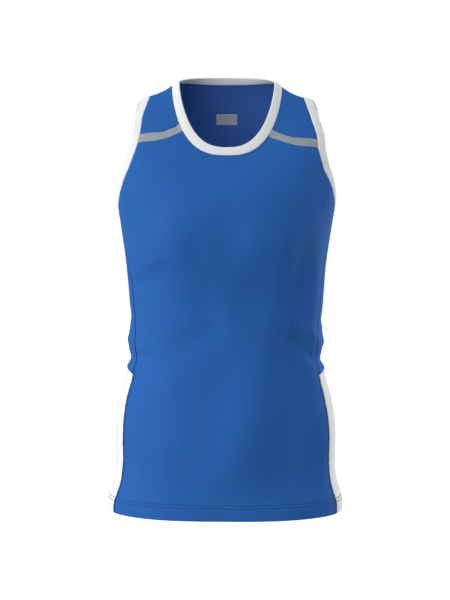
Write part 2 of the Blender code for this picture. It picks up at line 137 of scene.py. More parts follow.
PAIRED_FOLDS = (
    Fold(-62.0, -0.2450, 17.0, 0.045, 0.0000, 0.0065),
    Fold(-66.0, -0.3250, 18.0, 0.032, 0.0000, -0.0025),
    Fold(64.0, -0.1900, 20.0, 0.050, 0.0000, 0.0030),
    Fold(0.0, -0.3920, 34.0, 0.013, 0.0000, 0.0035),
    Fold(0.0, -0.4150, 34.0, 0.009, 0.0000, -0.0028),
    Fold(0.0, -0.4310, 30.0, 0.008, 0.0000, 0.0020),
    Fold(4.0, -0.3520, 30.0, 0.012, 0.0000, -0.0018),
)
SINGLE_FOLDS = (
    Fold(-40.0, -0.3950, 15.0, 0.012, -0.0011, -0.0035),
    Fold(-44.0, -0.3700, 14.0, 0.012, -0.0011, 0.0020),
    Fold(-60.0, -0.5450, 16.0, 0.060, 0.0000, -0.0030),
    Fold(-112.0, -0.3900, 16.0, 0.022, 0.0012, -0.0025),
    Fold(-140.0, -0.3000, 20.0, 0.012, 0.0003, -0.0022),
    Fold(60.0, -0.4050, 22.0, 0.014, 0.0006, -0.0030),
    Fold(122.0, -0.4150, 22.0, 0.014, -0.0006, -0.0030),
    Fold(70.0, -0.5600, 14.0, 0.055, 0.0000, 0.0025),
    Fold(112.0, -0.5500, 14.0, 0.055, 0.0000, -0.0025),
)


class Face(Enum):
    """The way that a part of the cloth faces: its crease is placed by x there, or by y."""

    FRONT = "front"
    BACK = "back"
    LEFT = "left"
    RIGHT = "right"


@dataclass(frozen=True)
class Crease:
    """A crease or a broad soft hollow between two places on one face, with a ridge on each side.

    start and end are (x, height) on the front and back, and (y, height) on the sides. width is
    the trough's half width, a negative depth makes a ridge of it, and bow lifts its middle.
    """

    face: Face
    start: tuple[float, float]
    end: tuple[float, float]
    width: float
    depth: float
    bow: float = 0.0


CREASES = (
    Crease(Face.FRONT, (0.1150, -0.2240), (0.0920, -0.4520), 0.0190, 0.0064),
    Crease(Face.FRONT, (0.0560, -0.4620), (-0.0080, -0.5950), 0.0340, -0.0042),
    Crease(Face.FRONT, (0.1160, -0.4300), (0.0980, -0.6200), 0.0370, 0.0050),
    Crease(Face.FRONT, (0.1320, -0.4900), (0.1250, -0.6180), 0.0110, 0.0024),
    Crease(Face.FRONT, (0.1460, -0.1250), (0.1280, -0.2000), 0.0150, 0.0020),
    Crease(Face.FRONT, (0.1050, -0.3650), (0.0860, -0.5250), 0.0260, 0.0044),
    Crease(Face.FRONT, (-0.0470, -0.2300), (-0.0400, -0.2880), 0.0140, 0.0013),
    Crease(Face.FRONT, (-0.0400, -0.3220), (-0.0020, -0.3960), 0.0160, 0.0017),
    Crease(Face.FRONT, (0.0290, -0.2180), (0.0520, -0.2600), 0.0160, -0.0014),
    Crease(Face.FRONT, (-0.0660, -0.1400), (-0.0740, -0.6000), 0.0280, -0.0013),
    Crease(Face.BACK, (-0.1060, -0.2250), (-0.0830, -0.4500), 0.0200, 0.0036),
    Crease(Face.BACK, (0.0740, -0.4600), (0.0220, -0.6050), 0.0290, 0.0040),
    Crease(Face.BACK, (-0.0340, -0.3000), (0.0080, -0.3850), 0.0170, 0.0016),
    Crease(Face.BACK, (0.1030, -0.1900), (0.0960, -0.3350), 0.0180, 0.0026),
    Crease(Face.BACK, (-0.1120, -0.4850), (-0.1000, -0.6120), 0.0210, 0.0028),
    Crease(Face.LEFT, (0.0060, -0.4600), (-0.0080, -0.5900), 0.0180, 0.0022),
    Crease(Face.RIGHT, (0.0120, -0.4700), (0.0040, -0.6000), 0.0170, 0.0018),
    Crease(Face.FRONT, (-0.1280, -0.2830), (-0.0720, -0.2760), 0.0070, 0.0006, -0.0040),
    Crease(Face.FRONT, (0.1040, -0.3720), (0.1280, -0.4220), 0.0055, 0.0018),
    Crease(Face.FRONT, (0.0860, -0.3520), (0.1310, -0.3950), 0.0070, 0.0022),
    Crease(Face.FRONT, (-0.1310, -0.4040), (-0.0920, -0.4180), 0.0060, 0.0005, 0.0030),
    Crease(Face.FRONT, (-0.1260, -0.3760), (-0.0980, -0.3820), 0.0055, 0.0006, 0.0020),
    Crease(Face.FRONT, (-0.1180, -0.5000), (-0.0960, -0.5900), 0.0140, 0.0008),
    Crease(Face.BACK, (-0.1120, -0.3920), (-0.0400, -0.4080), 0.0080, 0.0012, -0.0030),
    Crease(Face.BACK, (-0.0920, -0.4280), (-0.0180, -0.4360), 0.0070, 0.0010, -0.0020),
    Crease(Face.BACK, (0.0480, -0.3780), (0.1180, -0.3660), 0.0075, 0.0011, -0.0030),
    Crease(Face.BACK, (0.0300, -0.4160), (0.1040, -0.4020), 0.0080, 0.0012, -0.0040),
    Crease(Face.BACK, (-0.1220, -0.2360), (-0.0700, -0.2820), 0.0110, 0.0010),
    Crease(Face.BACK, (0.1240, -0.2460), (0.0820, -0.3000), 0.0100, 0.0009),
    Crease(Face.BACK, (0.0520, -0.5000), (0.0700, -0.5900), 0.0130, 0.0009),
    Crease(Face.BACK, (-0.0860, -0.5100), (-0.0940, -0.6040), 0.0120, 0.0008),
    Crease(Face.LEFT, (-0.0460, -0.3960), (0.0400, -0.4020), 0.0055, 0.0011, -0.0020),
    Crease(Face.LEFT, (-0.0400, -0.3620), (0.0300, -0.3560), 0.0060, 0.0007, 0.0020),
    Crease(Face.RIGHT, (-0.0500, -0.3920), (0.0340, -0.3990), 0.0060, 0.0011, -0.0020),
    Crease(Face.RIGHT, (-0.0300, -0.4320), (0.0460, -0.4260), 0.0055, 0.0007, -0.0020),
)


@dataclass(frozen=True)
class Ridge:
    """The ridge on one side of a crease: its height, place and width, as shares of the crease's."""

    height: float
    place: float
    width: float


CREASE_RIDGES = (Ridge(0.50, 1.7, 1.1), Ridge(0.32, -1.9, 1.3))
CREASE_REACH = 5
CREASE_FADE = 0.8


@dataclass(frozen=True)
class Wave:
    """A slow wave through space: the direction it runs in, its length, its size and its phase."""

    direction: tuple[float, float, float]
    length: float
    size: float
    phase: float


SOFT_WAVES = (
    Wave((0.80, 0.20, 0.56), 0.118, 0.00042, 0.6),
    Wave((-0.52, 0.30, 0.80), 0.083, 0.00030, 2.1),
    Wave((0.30, -0.60, 0.74), 0.146, 0.00045, 4.0),
    Wave((0.95, 0.10, -0.30), 0.061, 0.00016, 5.2),
)
PUCKER_WAVES = (
    Wave((0.20, 0.12, 0.97), 0.0137, 0.00013, 0.4),
    Wave((0.56, -0.30, 0.77), 0.0089, 0.00008, 1.9),
    Wave((0.93, 0.34, 0.12), 0.0171, 0.00012, 3.3),
    Wave((-0.36, 0.88, 0.31), 0.0113, 0.00009, 5.0),
)


def smooth(knots: Array, values: Array, at: Array, closed: float = 0.0) -> Array:
    """A cubic through the values at the knots, each tangent blended from the steps beside it.

    Args:
        knots: Rising places of the values.
        values: The values there.
        at: Places to read.
        closed: Length of a closed curve, or 0 for an open one.

    Returns:
        The curve's values at those places.
    """
    knots, values = np.asarray(knots, float), np.asarray(values, float)
    at = np.asarray(at, float)
    if closed:
        knots = np.concatenate([knots[-2:] - closed, knots, knots[:3] + closed])
        values = np.concatenate([values[-2:], values, values[:3]])
    step = np.diff(knots)
    rise = np.diff(values) / step
    tangent = np.empty_like(values)
    tangent[0], tangent[-1] = rise[0], rise[-1]
    tangent[1:-1] = (rise[:-1] * step[1:] + rise[1:] * step[:-1]) / (step[:-1] + step[1:])
    i = np.clip(np.searchsorted(knots, at, side="right") - 1, 0, len(knots) - 2)
    h = step[i]
    t = (at - knots[i]) / h
    return (
        values[i] * (1 + 2 * t) * (1 - t) ** 2
        + tangent[i] * h * t * (1 - t) ** 2
        + values[i + 1] * t * t * (3 - 2 * t)
        + tangent[i + 1] * h * t * t * (t - 1)
    )


def unit(vectors: Array) -> Array:
    """The vectors with length 1."""
    return vectors / np.linalg.norm(vectors, axis=-1, keepdims=True)


def bell(away: Array, width: float) -> Array:
    """A bell curve: 1 in the middle, and about a third at its width."""
    return np.exp(-((away / width) ** 2))


def distance_along(points: Array) -> Array:
    """The distance of each point in a row from the first, along the row."""
    steps = np.linalg.norm(np.diff(points, axis=0), axis=1)
    return np.concatenate([[0.0], np.cumsum(steps)])


def read_rows(at: Array, along: Array, rows: Array) -> Array:
    """Rows of values, read at distances between the ones that they stand at."""
    return np.stack([np.interp(at, along, column) for column in rows.T], axis=-1)


def wave_height(waves: Sequence[Wave], points: Array) -> Array:
    """The sum of some waves at some points: size times the sine of the distance along each."""
    total = np.zeros(points.shape[:-1])
    for wave in waves:
        along = points @ np.array(wave.direction)
        total += wave.size * np.sin(2 * np.pi * along / wave.length + wave.phase)
    return total


@dataclass
class GarmentForm:
    """The filled-out form that all the cloth lies on, with its folds, creases and hem sewing.

    row_depth and row_width are those of the hem's sunk rows, and tunnel is how far the cloth rises
    between them. The nudges are the small steps that the normals are found with.
    """

    rings: tuple[Ring, ...] = RINGS
    paired_folds: tuple[Fold, ...] = PAIRED_FOLDS
    single_folds: tuple[Fold, ...] = SINGLE_FOLDS
    creases: tuple[Crease, ...] = CREASES
    crease_points: int = 9
    hem_rows: tuple[float, ...] = (0.0181, 0.0227)
    row_depth: float = 0.00034
    row_width: float = 0.00062
    tunnel: float = 0.00022
    tunnel_width: float = 0.0013
    turn_nudge: float = 0.2
    station_nudge: float = 0.0005
    halvings: int = 40
    table: dict[str, Array] = field(init=False)
    stations: Array = field(init=False)
    neck_seam: float = field(init=False)
    neck_edge: float = field(init=False)
    crease_paths: list[Array] = field(init=False)

    def __post_init__(self) -> None:
        """Sets out the ring table, the stations and the creases' paths."""
        names = Ring.__dataclass_fields__
        self.table = {name: np.array([getattr(r, name) for r in self.rings]) for name in names}
        steps = np.hypot(np.diff(self.table["side_x"]), np.diff(self.table["side_z"]))
        self.stations = np.concatenate([[0.0], np.cumsum(steps)])
        self.neck_seam = float(self.stations[NECK_SEAM_RING])
        self.neck_edge = float(self.stations[-1])
        self.crease_paths = [self.crease_path(crease) for crease in self.creases]

    def ring_at(self, station: Array) -> dict[str, Array]:
        """Each column of the ring table at these stations."""
        station = np.clip(station, 0.0, self.neck_edge)
        return {name: smooth(self.stations, column, station) for name, column in self.table.items()}

    def smooth_form(self, turn: Array, station: Array) -> Array:
        """The form without folds: a superellipse ring, tilted from its sides to front and back.

        Args:
            turn: Angles round the ring, in degrees.
            station: Distances up the side.

        Returns:
            Points, one for each pair.
        """
        turn, station = np.broadcast_arrays(np.radians(turn), station)
        ring = self.ring_at(station)
        cosine, sine = np.cos(turn), np.sin(turn)
        square = ring["square"]
        size = (np.abs(cosine) ** square + np.abs(sine) ** square) ** (1 / square)
        across, along = cosine / size, sine / size
        front = along < 0
        depth = np.where(front, ring["front_y"], ring["back_y"])
        end_z = np.where(front, ring["front_z"], ring["back_z"])
        ridge = ring["ridge"]
        drop = (np.sqrt(along**2 + ridge**2) - ridge) / (np.sqrt(1 + ridge**2) - ridge)
        height = ring["side_z"] + (end_z - ring["side_z"]) * drop
        height = height + ring["lean"] * along * (1 - along**2)
        return np.stack([ring["side_x"] * across, along * depth, height], axis=-1)

    def outward(self, turn: Array, station: Array) -> Array:
        """Unit normals of the smooth form, from small steps round and up it."""
        a, b = self.turn_nudge, self.station_nudge
        round_it = self.smooth_form(turn + a, station) - self.smooth_form(turn - a, station)
        up_it = self.smooth_form(turn, station + b) - self.smooth_form(turn, station - b)
        return unit(np.cross(round_it, up_it))

    def measured(self, line: Array) -> Array:
        """Distances along (turn, station) rows from the first, over the smooth form."""
        return distance_along(self.smooth_form(line[:, 0], line[:, 1]))

    def fold_depth(self, turn: Array, height: Array) -> Array:
        """How far the wide folds push the cloth out: a sum of leaning bells."""
        total = np.zeros(np.broadcast(turn, height).shape)
        for fold in (*self.paired_folds, *self.single_folds):
            total += self.one_fold(fold, turn, height)
        for fold in self.paired_folds:
            total += self.one_fold(fold, 180.0 - turn, height)
        return total

    @staticmethod
    def one_fold(fold: Fold, turn: Array, height: Array) -> Array:
        """One fold's depth at each turn and height."""
        away = (turn - fold.turn + 180.0) % 360.0 - 180.0
        up = height - fold.height - fold.slope * away
        return fold.depth * np.exp(-((away / fold.spread) ** 2) - (up / fold.rise) ** 2)

    def cloth_point(self, turn: Array, station: Array) -> tuple[Array, Array]:
        """The form with its wide folds: points and unit normals."""
        turn, station = np.broadcast_arrays(np.asarray(turn, float), np.asarray(station, float))
        point = self.smooth_form(turn, station)
        normal = self.outward(turn, station)
        return point + normal * self.fold_depth(turn, point[..., 2])[..., None], normal

    def dressed_point(self, turn: Array, station: Array) -> tuple[Array, Array]:
        """The cloth's outer face with its creases, unevenness and hem sewing.

        Args:
            turn: Angles round the ring, in degrees.
            station: Distances up the side.

        Returns:
            Points, and the smooth form's unit normals.
        """
        point, normal = self.cloth_point(turn, station)
        out = self.crease_depth(point, normal) + wave_height(SOFT_WAVES, point)
        station = np.broadcast_to(station, out.shape)
        for row in self.hem_rows:
            out = out - self.row_depth * bell(station - row, self.row_width)
        middle = sum(self.hem_rows) / len(self.hem_rows)
        out = out + self.tunnel * bell(station - middle, self.tunnel_width)
        return point + normal * out[..., None], normal

    def turn_on(self, face: Face, across: Array, station: Array) -> Array:
        """The turn of a place given by its x on the front or back, or its y on a side."""
        ring = self.ring_at(station)
        power = ring["square"]
        if face in (Face.FRONT, Face.BACK):
            x = np.clip(across / ring["side_x"], -1, 1)
            y = (1 - np.abs(x) ** power) ** (1 / power) * (-1 if face is Face.FRONT else 1)
        else:
            depth = np.where(across < 0, ring["front_y"], ring["back_y"])
            y = np.clip(across / depth, -1, 1)
            x = (1 - np.abs(y) ** power) ** (1 / power) * (1 if face is Face.LEFT else -1)
        return np.degrees(np.arctan2(y, x))

    def station_at(self, turn: Array, height: Array) -> Array:
        """The station of each turn's point at a height."""
        turn, height = np.broadcast_arrays(np.asarray(turn, float), np.asarray(height, float))
        return self.halved(height, lambda station: turn)

    def place(self, face: Face, across: Array, height: Array) -> tuple[Array, Array]:
        """Turn and station of places given by their x or y on a face and their height."""
        station = self.halved(height, lambda station: self.turn_on(face, across, station))
        return self.turn_on(face, across, station), station

    def halved(self, height: Array, turn_of: Callable[[Array], Array]) -> Array:
        """The stations at which the form reaches a height, by halving the range again and again.

        Args:
            height: The heights.
            turn_of: Gives the turns that belong to some stations.

        Returns:
            One station for each height.
        """
        low, high = np.zeros(np.shape(height)), np.full(np.shape(height), self.neck_seam)
        for _ in range(self.halvings):
            middle = (low + high) / 2
            above = self.smooth_form(turn_of(middle), middle)[..., 2] > height
            low, high = np.where(above, low, middle), np.where(above, middle, high)
        return (low + high) / 2

    def crease_path(self, crease: Crease) -> Array:
        """The points on the cloth that a crease runs through."""
        share = np.linspace(0.0, 1.0, self.crease_points)
        across = crease.start[0] + (crease.end[0] - crease.start[0]) * share
        height = crease.start[1] + (crease.end[1] - crease.start[1]) * share
        height = height + crease.bow * np.sin(np.pi * share)
        return self.cloth_point(*self.place(crease.face, across, height))[0]

    def crease_depth(self, point: Array, normal: Array) -> Array:
        """How far the creases and hollows move the cloth.

        Each one is a bell-shaped trough with a lower ridge on each side, fading to its two ends.
        """
        total = np.zeros(point.shape[:-1])
        for crease, path in zip(self.creases, self.crease_paths):
            near = np.linalg.norm(point - path.mean(axis=0), axis=-1)
            reach = np.linalg.norm(path[-1] - path[0]) / 2 + CREASE_REACH * crease.width
            chosen = near < reach
            total[chosen] += self.one_crease(crease, path, point[chosen], normal[chosen])
        return total

    @staticmethod
    def one_crease(crease: Crease, path: Array, point: Array, normal: Array) -> Array:
        """One crease's depth at some points, from the nearest place on its path."""
        step = np.diff(path, axis=0)
        away = point[:, None] - path[None, :-1]
        share = np.clip((away * step).sum(-1) / (step * step).sum(-1), 0.0, 1.0)
        gap = away - share[..., None] * step
        nearest = np.argmin((gap * gap).sum(-1), axis=1)
        row = np.arange(len(point))
        gap, share = gap[row, nearest], share[row, nearest]
        beside = unit(np.cross(normal, unit(step)[nearest]))
        off = (gap * beside).sum(-1) / crease.width
        past = np.sqrt(np.maximum((gap * gap).sum(-1) / crease.width**2 - off**2, 0.0))
        along = (nearest + share) / len(step)
        profile = -bell(off, 1.0)
        profile = profile + sum(r.height * bell(off - r.place, r.width) for r in CREASE_RIDGES)
        fade = np.sin(np.pi * np.clip(along, 0.0, 1.0)) ** CREASE_FADE * bell(past, 1.0)
        return crease.depth * profile * fade


# The pattern


@dataclass(frozen=True)
class Cut:
    """A point of the armhole seam: its name where another seam meets it, turn and height."""

    turn: float
    height: float
    name: str = ""


ARMHOLE = (
    Cut(-2.0, -0.1965, "front side seam"),
    Cut(-21.3, -0.1761),
    Cut(-31.2, -0.1537),
    Cut(-36.9, -0.1347),
    Cut(-38.0, -0.1045, "tape lower edge"),
    Cut(-35.3, -0.0915, "tape upper edge"),
    Cut(-25.0, -0.0587),
    Cut(-16.4, -0.0406),
    Cut(-6.0, -0.0288),
    Cut(6.0, -0.0278, "shoulder seam"),
    Cut(24.0, -0.0390),
    Cut(36.5, -0.0610),
    Cut(42.5, -0.0860),
    Cut(43.5, -0.1120),
    Cut(40.5, -0.1370),
    Cut(34.0, -0.1580),
    Cut(24.0, -0.1760),
    Cut(13.0, -0.1890, "back side seam"),
)


@dataclass(frozen=True)
class SideSeam:
    """Where the side panel's two seams run at one height."""

    height: float
    front_turn: float
    back_turn: float


SIDE_SEAMS = (
    SideSeam(-0.6400, -27.5, 25.0),
    SideSeam(-0.6000, -28.5, 25.5),
    SideSeam(-0.5000, -28.5, 25.5),
    SideSeam(-0.4370, -27.5, 25.0),
    SideSeam(-0.3900, -27.0, 24.5),
    SideSeam(-0.3300, -23.5, 22.0),
    SideSeam(-0.2800, -20.5, 20.0),
    SideSeam(-0.2350, -12.0, 17.0),
)


def joined(*lines: Array) -> Array:
    """Lines end to end, each sharing its first point with the last of the one before."""
    return np.concatenate([lines[0], *[line[1:] for line in lines[1:]]])


def mirrored(line: Array, full_turn: float = 0.0) -> Array:
    """The same line or grid on the wearer's right half, with a full turn added where asked."""
    return np.stack([180.0 + full_turn - line[..., 0], line[..., 1]], axis=-1)


@dataclass
class Pattern:
    """Every seam and edge of one half, drawn on the left side as dense (turn, station) rows.

    askew raises the tape's edges, because the top hangs a little askew. neck_search is how many
    degrees to each side their ends are looked for on the neck seam.
    """

    form: GarmentForm
    askew: float = 0.0
    white_top: float = -0.4370
    white_arch: float = 0.0090
    shoulder_turn: float = 6.0
    tape_neck_turns: tuple[float, float] = (-45.5, -40.5)
    tape_middles: tuple[tuple[float, float], ...] = ((0.1000, -0.1008), (0.0970, -0.0886))
    coarse_points: int = 50
    neck_points: int = 400
    neck_search: float = 8.0

    def through(self, points: Sequence[tuple[float, float]]) -> Array:
        """A cubic through a few (turn, station) points, cut into short steps."""
        points = np.array(points, float)
        knots = self.form.measured(points)
        at = np.linspace(0.0, knots[-1], int(knots[-1] / LINE_STEP) + 2)
        return np.stack([smooth(knots, column, at) for column in points.T], axis=1)

    def straight(self, start: Sequence[float], end: Sequence[float]) -> Array:
        """A line that runs evenly in turn and station."""
        length = self.form.measured(np.linspace(start, end, self.coarse_points))[-1]
        return np.linspace(start, end, int(length / LINE_STEP) + 2)

    def armhole(self) -> tuple[Array, dict[str, int]]:
        """The closed armhole seam as dense points, and the index of each named cut on it."""
        turn = np.array([cut.turn for cut in ARMHOLE])
        lift = [self.askew * cut.name.startswith("tape") for cut in ARMHOLE]
        station = self.form.station_at(turn, np.array([cut.height for cut in ARMHOLE]) + lift)
        cuts = np.stack([turn, station], axis=1)
        knots = self.form.measured(np.concatenate([cuts, cuts[:1]]))
        at, names = [], {}
        for i, cut in enumerate(ARMHOLE):
            if cut.name:
                names[cut.name] = sum(len(part) for part in at)
            count = int((knots[i + 1] - knots[i]) / LINE_STEP) + 1
            at.append(np.linspace(knots[i], knots[i + 1], count, endpoint=False))
        at = np.concatenate(at)
        line = [smooth(knots[:-1], column, at, closed=knots[-1]) for column in cuts.T]
        return np.stack(line, axis=1), names

    def side_station(self, height: float) -> float:
        """The station of the ring whose side is at this height."""
        return float(self.form.station_at(0.0, height))

    def side_seam(self, column: str, end: Array) -> tuple[Array, Array]:
        """One side seam, from the hem to the white panel's top and from there to the armhole."""
        knots = [self.side_station(seam.height) for seam in SIDE_SEAMS] + [end[1]]
        turns = [getattr(seam, column) for seam in SIDE_SEAMS] + [end[0]]
        top = self.side_station(self.white_top)
        parts = []
        for low, high in ((0.0, top), (top, end[1])):
            rows = np.linspace(low, high, int((high - low) / LINE_STEP) + 2)
            parts.append(np.stack([smooth(knots, turns, rows), rows], axis=1))
        return parts[0], parts[1]

    def neck_turn(self, turn: float) -> float:
        """The turn on the neck seam that lies askew metres above the one given."""
        turns = np.linspace(turn - self.neck_search, turn + self.neck_search, self.neck_points)
        heights = self.form.smooth_form(turns, self.form.neck_seam)[:, 2]
        middle = self.form.smooth_form(turn, self.form.neck_seam)[2]
        return float(np.interp(middle + self.askew, heights, turns))

    def tape_edge(self, which: int, arm_end: Array) -> Array:
        """The tape's lower (0) or upper (1) edge, from the neck seam to the armhole."""
        half_width, height = self.tape_middles[which]
        across, level = np.array([half_width]), np.array([height + self.askew])
        turn, station = self.form.place(Face.FRONT, across, level)
        neck_end = (self.neck_turn(self.tape_neck_turns[which]), self.form.neck_seam)
        return self.through([neck_end, (turn[0], station[0]), tuple(arm_end)])

    def lines(self) -> Lines:
        """Every seam and edge by name."""
        neck = self.form.neck_seam
        armhole, cut = self.armhole()
        front_low, front_high = self.side_seam("front_turn", armhole[cut["front side seam"]])
        back_low, back_high = self.side_seam("back_turn", armhole[cut["back side seam"]])
        whole = np.concatenate([armhole, armhole[:1]])
        arch = self.straight(front_low[-1], back_low[-1])
        arch[:, 1] += self.white_arch * np.sin(np.linspace(0.0, np.pi, len(arch)))
        low_turn, high_turn = (self.neck_turn(turn) for turn in self.tape_neck_turns)
        low, high = cut["tape lower edge"], cut["tape upper edge"]
        top, back = cut["shoulder seam"], cut["back side seam"]
        return {
            "armhole": armhole,
            "arm_front_low": whole[: low + 1],
            "arm_tape": whole[low : high + 1],
            "arm_yoke": whole[high : top + 1],
            "arm_back": whole[top : back + 1][::-1],
            "arm_bottom": whole[back:][::-1],
            "front_low": front_low,
            "front_high": front_high,
            "back_low": back_low,
            "back_high": back_high,
            "tape_low": self.tape_edge(0, armhole[low]),
            "tape_high": self.tape_edge(1, armhole[high]),
            "shoulder": self.through([(self.shoulder_turn, neck), tuple(armhole[top])]),
            "split": arch,
            "hem": self.straight(front_low[0], back_low[0]),
            "neck_tape": self.straight((low_turn, neck), (high_turn, neck)),
            "neck_yoke": self.straight((high_turn, neck), (self.shoulder_turn, neck)),
        }


# Grids and meshes


# The hem's steps below, at and above its stitch rows
HEM_LOW_STEPS = (0.0065, 0.0090, 0.0115, 0.0140)
HEM_TOP_STEPS = (0.0262, 0.0280)
ROW_MARGIN = 0.0021
ROW_STEP = 0.00036
# How many points are measured at a time, and the least squared length that a step counts as
CHUNK = 8000
TINY = 1e-15


@dataclass(frozen=True)
class Sewing:
    """How the sewing at a seam or an edge shows on the cloth beside it.

    shade is painted shade, partly the colour of dark thread, that darkens the cloth as far as
    spread, pucker scales the ripples, radius rounds the cloth's edge, and dip is how far the
    sewing pulls it in.
    """

    shade: float = 0.25
    pucker: float = 1.0
    radius: float = 0.0006
    spread: float = 0.0011
    dip: float = 0.0


Seam = tuple[Array, Sewing]


def read_line(line: Array, lengths: Array, share: Array) -> Array:
    """Points of a measured line at shares of its length."""
    return read_rows(share * lengths[-1], lengths, line)


def spaced(length: float, step: float, start: Sequence[float], end: Sequence[float]) -> Array:
    """Distances along a length: the given ones at each end, and even steps between them."""
    count = max(int(round((length - start[-1] - end[-1]) / step)), 1)
    middle = np.linspace(start[-1], length - end[-1], count + 1)
    return np.concatenate([start[:-1], middle, length - np.asarray(end)[-2::-1]])


def hem_steps(rows: Sequence[float]) -> Array:
    """Distances up from the hem's edge, close together at the edge and at its stitch rows."""
    fine = np.arange(rows[0] - ROW_MARGIN, rows[-1] + ROW_MARGIN, ROW_STEP)
    return np.concatenate([EDGE_STEPS, HEM_LOW_STEPS, fine, HEM_TOP_STEPS])


def distance_to(path: Array, points: Array) -> Array:
    """Distance from each point to a path of short straight steps.

    The nearest path point comes from a table of squared distances, a part of it at a time. The
    distance is then taken to the steps on both sides of that point.
    """
    nearest = np.empty(len(points), int)
    square = (path * path).sum(1)
    for part in np.array_split(np.arange(len(points)), len(points) // CHUNK + 1):
        nearest[part] = np.argmin(square[None] - 2 * points[part] @ path.T, axis=1)
    best = np.full(len(points), np.inf)
    for start in (np.maximum(nearest - 1, 0), np.minimum(nearest, len(path) - 2)):
        step = path[start + 1] - path[start]
        away = points - path[start]
        share = (away * step).sum(1) / np.maximum((step * step).sum(1), TINY)
        off = away - np.clip(share, 0.0, 1.0)[:, None] * step
        best = np.minimum(best, np.linalg.norm(off, axis=1))
    return best


def quads_of(grid: Array) -> Array:
    """The four corners of each cell of a grid, counter-clockwise."""
    corners = [grid[:-1, :-1], grid[:-1, 1:], grid[1:, 1:], grid[1:, :-1]]
    return np.stack(corners, axis=2).reshape(-1, 4, *grid.shape[2:])


def rim_of(grid: Array) -> Array:
    """The entries round the edge of a grid, counter-clockwise from its first."""
    return np.concatenate([grid[0], grid[1:, -1], grid[-1, -2::-1], grid[-2:0:-1, 0]])


def capped_tube(rings: int, sides: int) -> Array:
    """The faces of one open tube of even-sided rings, with a row of quads across each end."""
    one = np.arange(rings * sides).reshape(rings, sides)
    tube = quads_of(np.concatenate([one, one[:, :1]], axis=1))
    caps = [
        [end[i], end[i + 1], end[-2 - i], end[-1 - i]]
        for end in (one[0], one[-1, ::-1])
        for i in range(sides // 2 - 1)
    ]
    return np.concatenate([tube, np.array(caps)])[:, ::-1]


def rounded(share: Array) -> Array:
    """The height of a quarter circle: 0 at share 0, and 1 from share 1 on."""
    return np.sqrt(1 - (1 - np.clip(share, 0.0, 1.0)) ** 2)


@dataclass
class MeshData:
    """What a mesh is made from: points, faces, a UV for each corner, and one painted shade a point.

    The faces from inside_from on take the second material, if there are two. flat is the longest
    way across the cloth and the longest way up it.
    """

    points: Array
    quads: Array
    corner_uv: Array
    shade: Optional[Array] = None
    inside_from: int = 0
    flat: tuple[float, float] = (0.0, 0.0)

    def build(self, name: str, materials: Sequence[bpy.types.Material]) -> bpy.types.Object:
        """Makes the mesh object.

        Args:
            name: The piece's name.
            materials: Its materials: one, or the outer face's and the inner face's.

        Returns:
            The object, linked into the scene.
        """
        mesh = bpy.data.meshes.new(name)
        mesh.from_pydata(self.points.tolist(), [], self.quads.tolist())
        layer = mesh.uv_layers.new(name=UV_NAME)
        layer.data.foreach_set("uv", self.corner_uv.reshape(-1).astype(np.float32))
        # Painted shade at seams and hem rows, partly dark thread colour, kept on each point
        if self.shade is not None:
            shade = mesh.attributes.new(SHADE_NAME, "FLOAT", "POINT")
            shade.data.foreach_set("value", self.shade.astype(np.float32))
        for material in materials:
            mesh.materials.append(material)
        if len(materials) > 1:
            slots = (np.arange(len(self.quads)) >= self.inside_from).astype(np.int32)
            mesh.polygons.foreach_set("material_index", slots)
        mesh.shade_smooth()
        mesh.update()
        piece = bpy.data.objects.new(name, mesh)
        bpy.context.scene.collection.objects.link(piece)
        return piece


def shell(outer: Array, inner: Array, uv: Array) -> MeshData:
    """A closed shell between two grids of points.

    Args:
        outer: The outer face's points.
        inner: The inner face's points.
        uv: The UV of each point of either grid.

    Returns:
        The shell: the outer face, the rim, then the inner face.
    """
    index = np.arange(uv.size // 2).reshape(uv.shape[:2])
    face, rim, rim_uv = quads_of(index), rim_of(index), rim_of(uv)
    after, after_uv, behind = np.roll(rim, -1), np.roll(rim_uv, -1, axis=0), index.size
    rim_quads = np.stack([rim, rim + behind, after + behind, after], axis=1)
    rim_corners = np.stack([rim_uv, rim_uv, after_uv, after_uv], axis=1)
    return MeshData(
        points=np.concatenate([outer.reshape(-1, 3), inner.reshape(-1, 3)]),
        quads=np.concatenate([face, rim_quads, face[:, ::-1] + behind]),
        corner_uv=np.concatenate([quads_of(uv), rim_corners, quads_of(uv)[:, ::-1]]),
        inside_from=len(face) + len(rim_quads),
    )


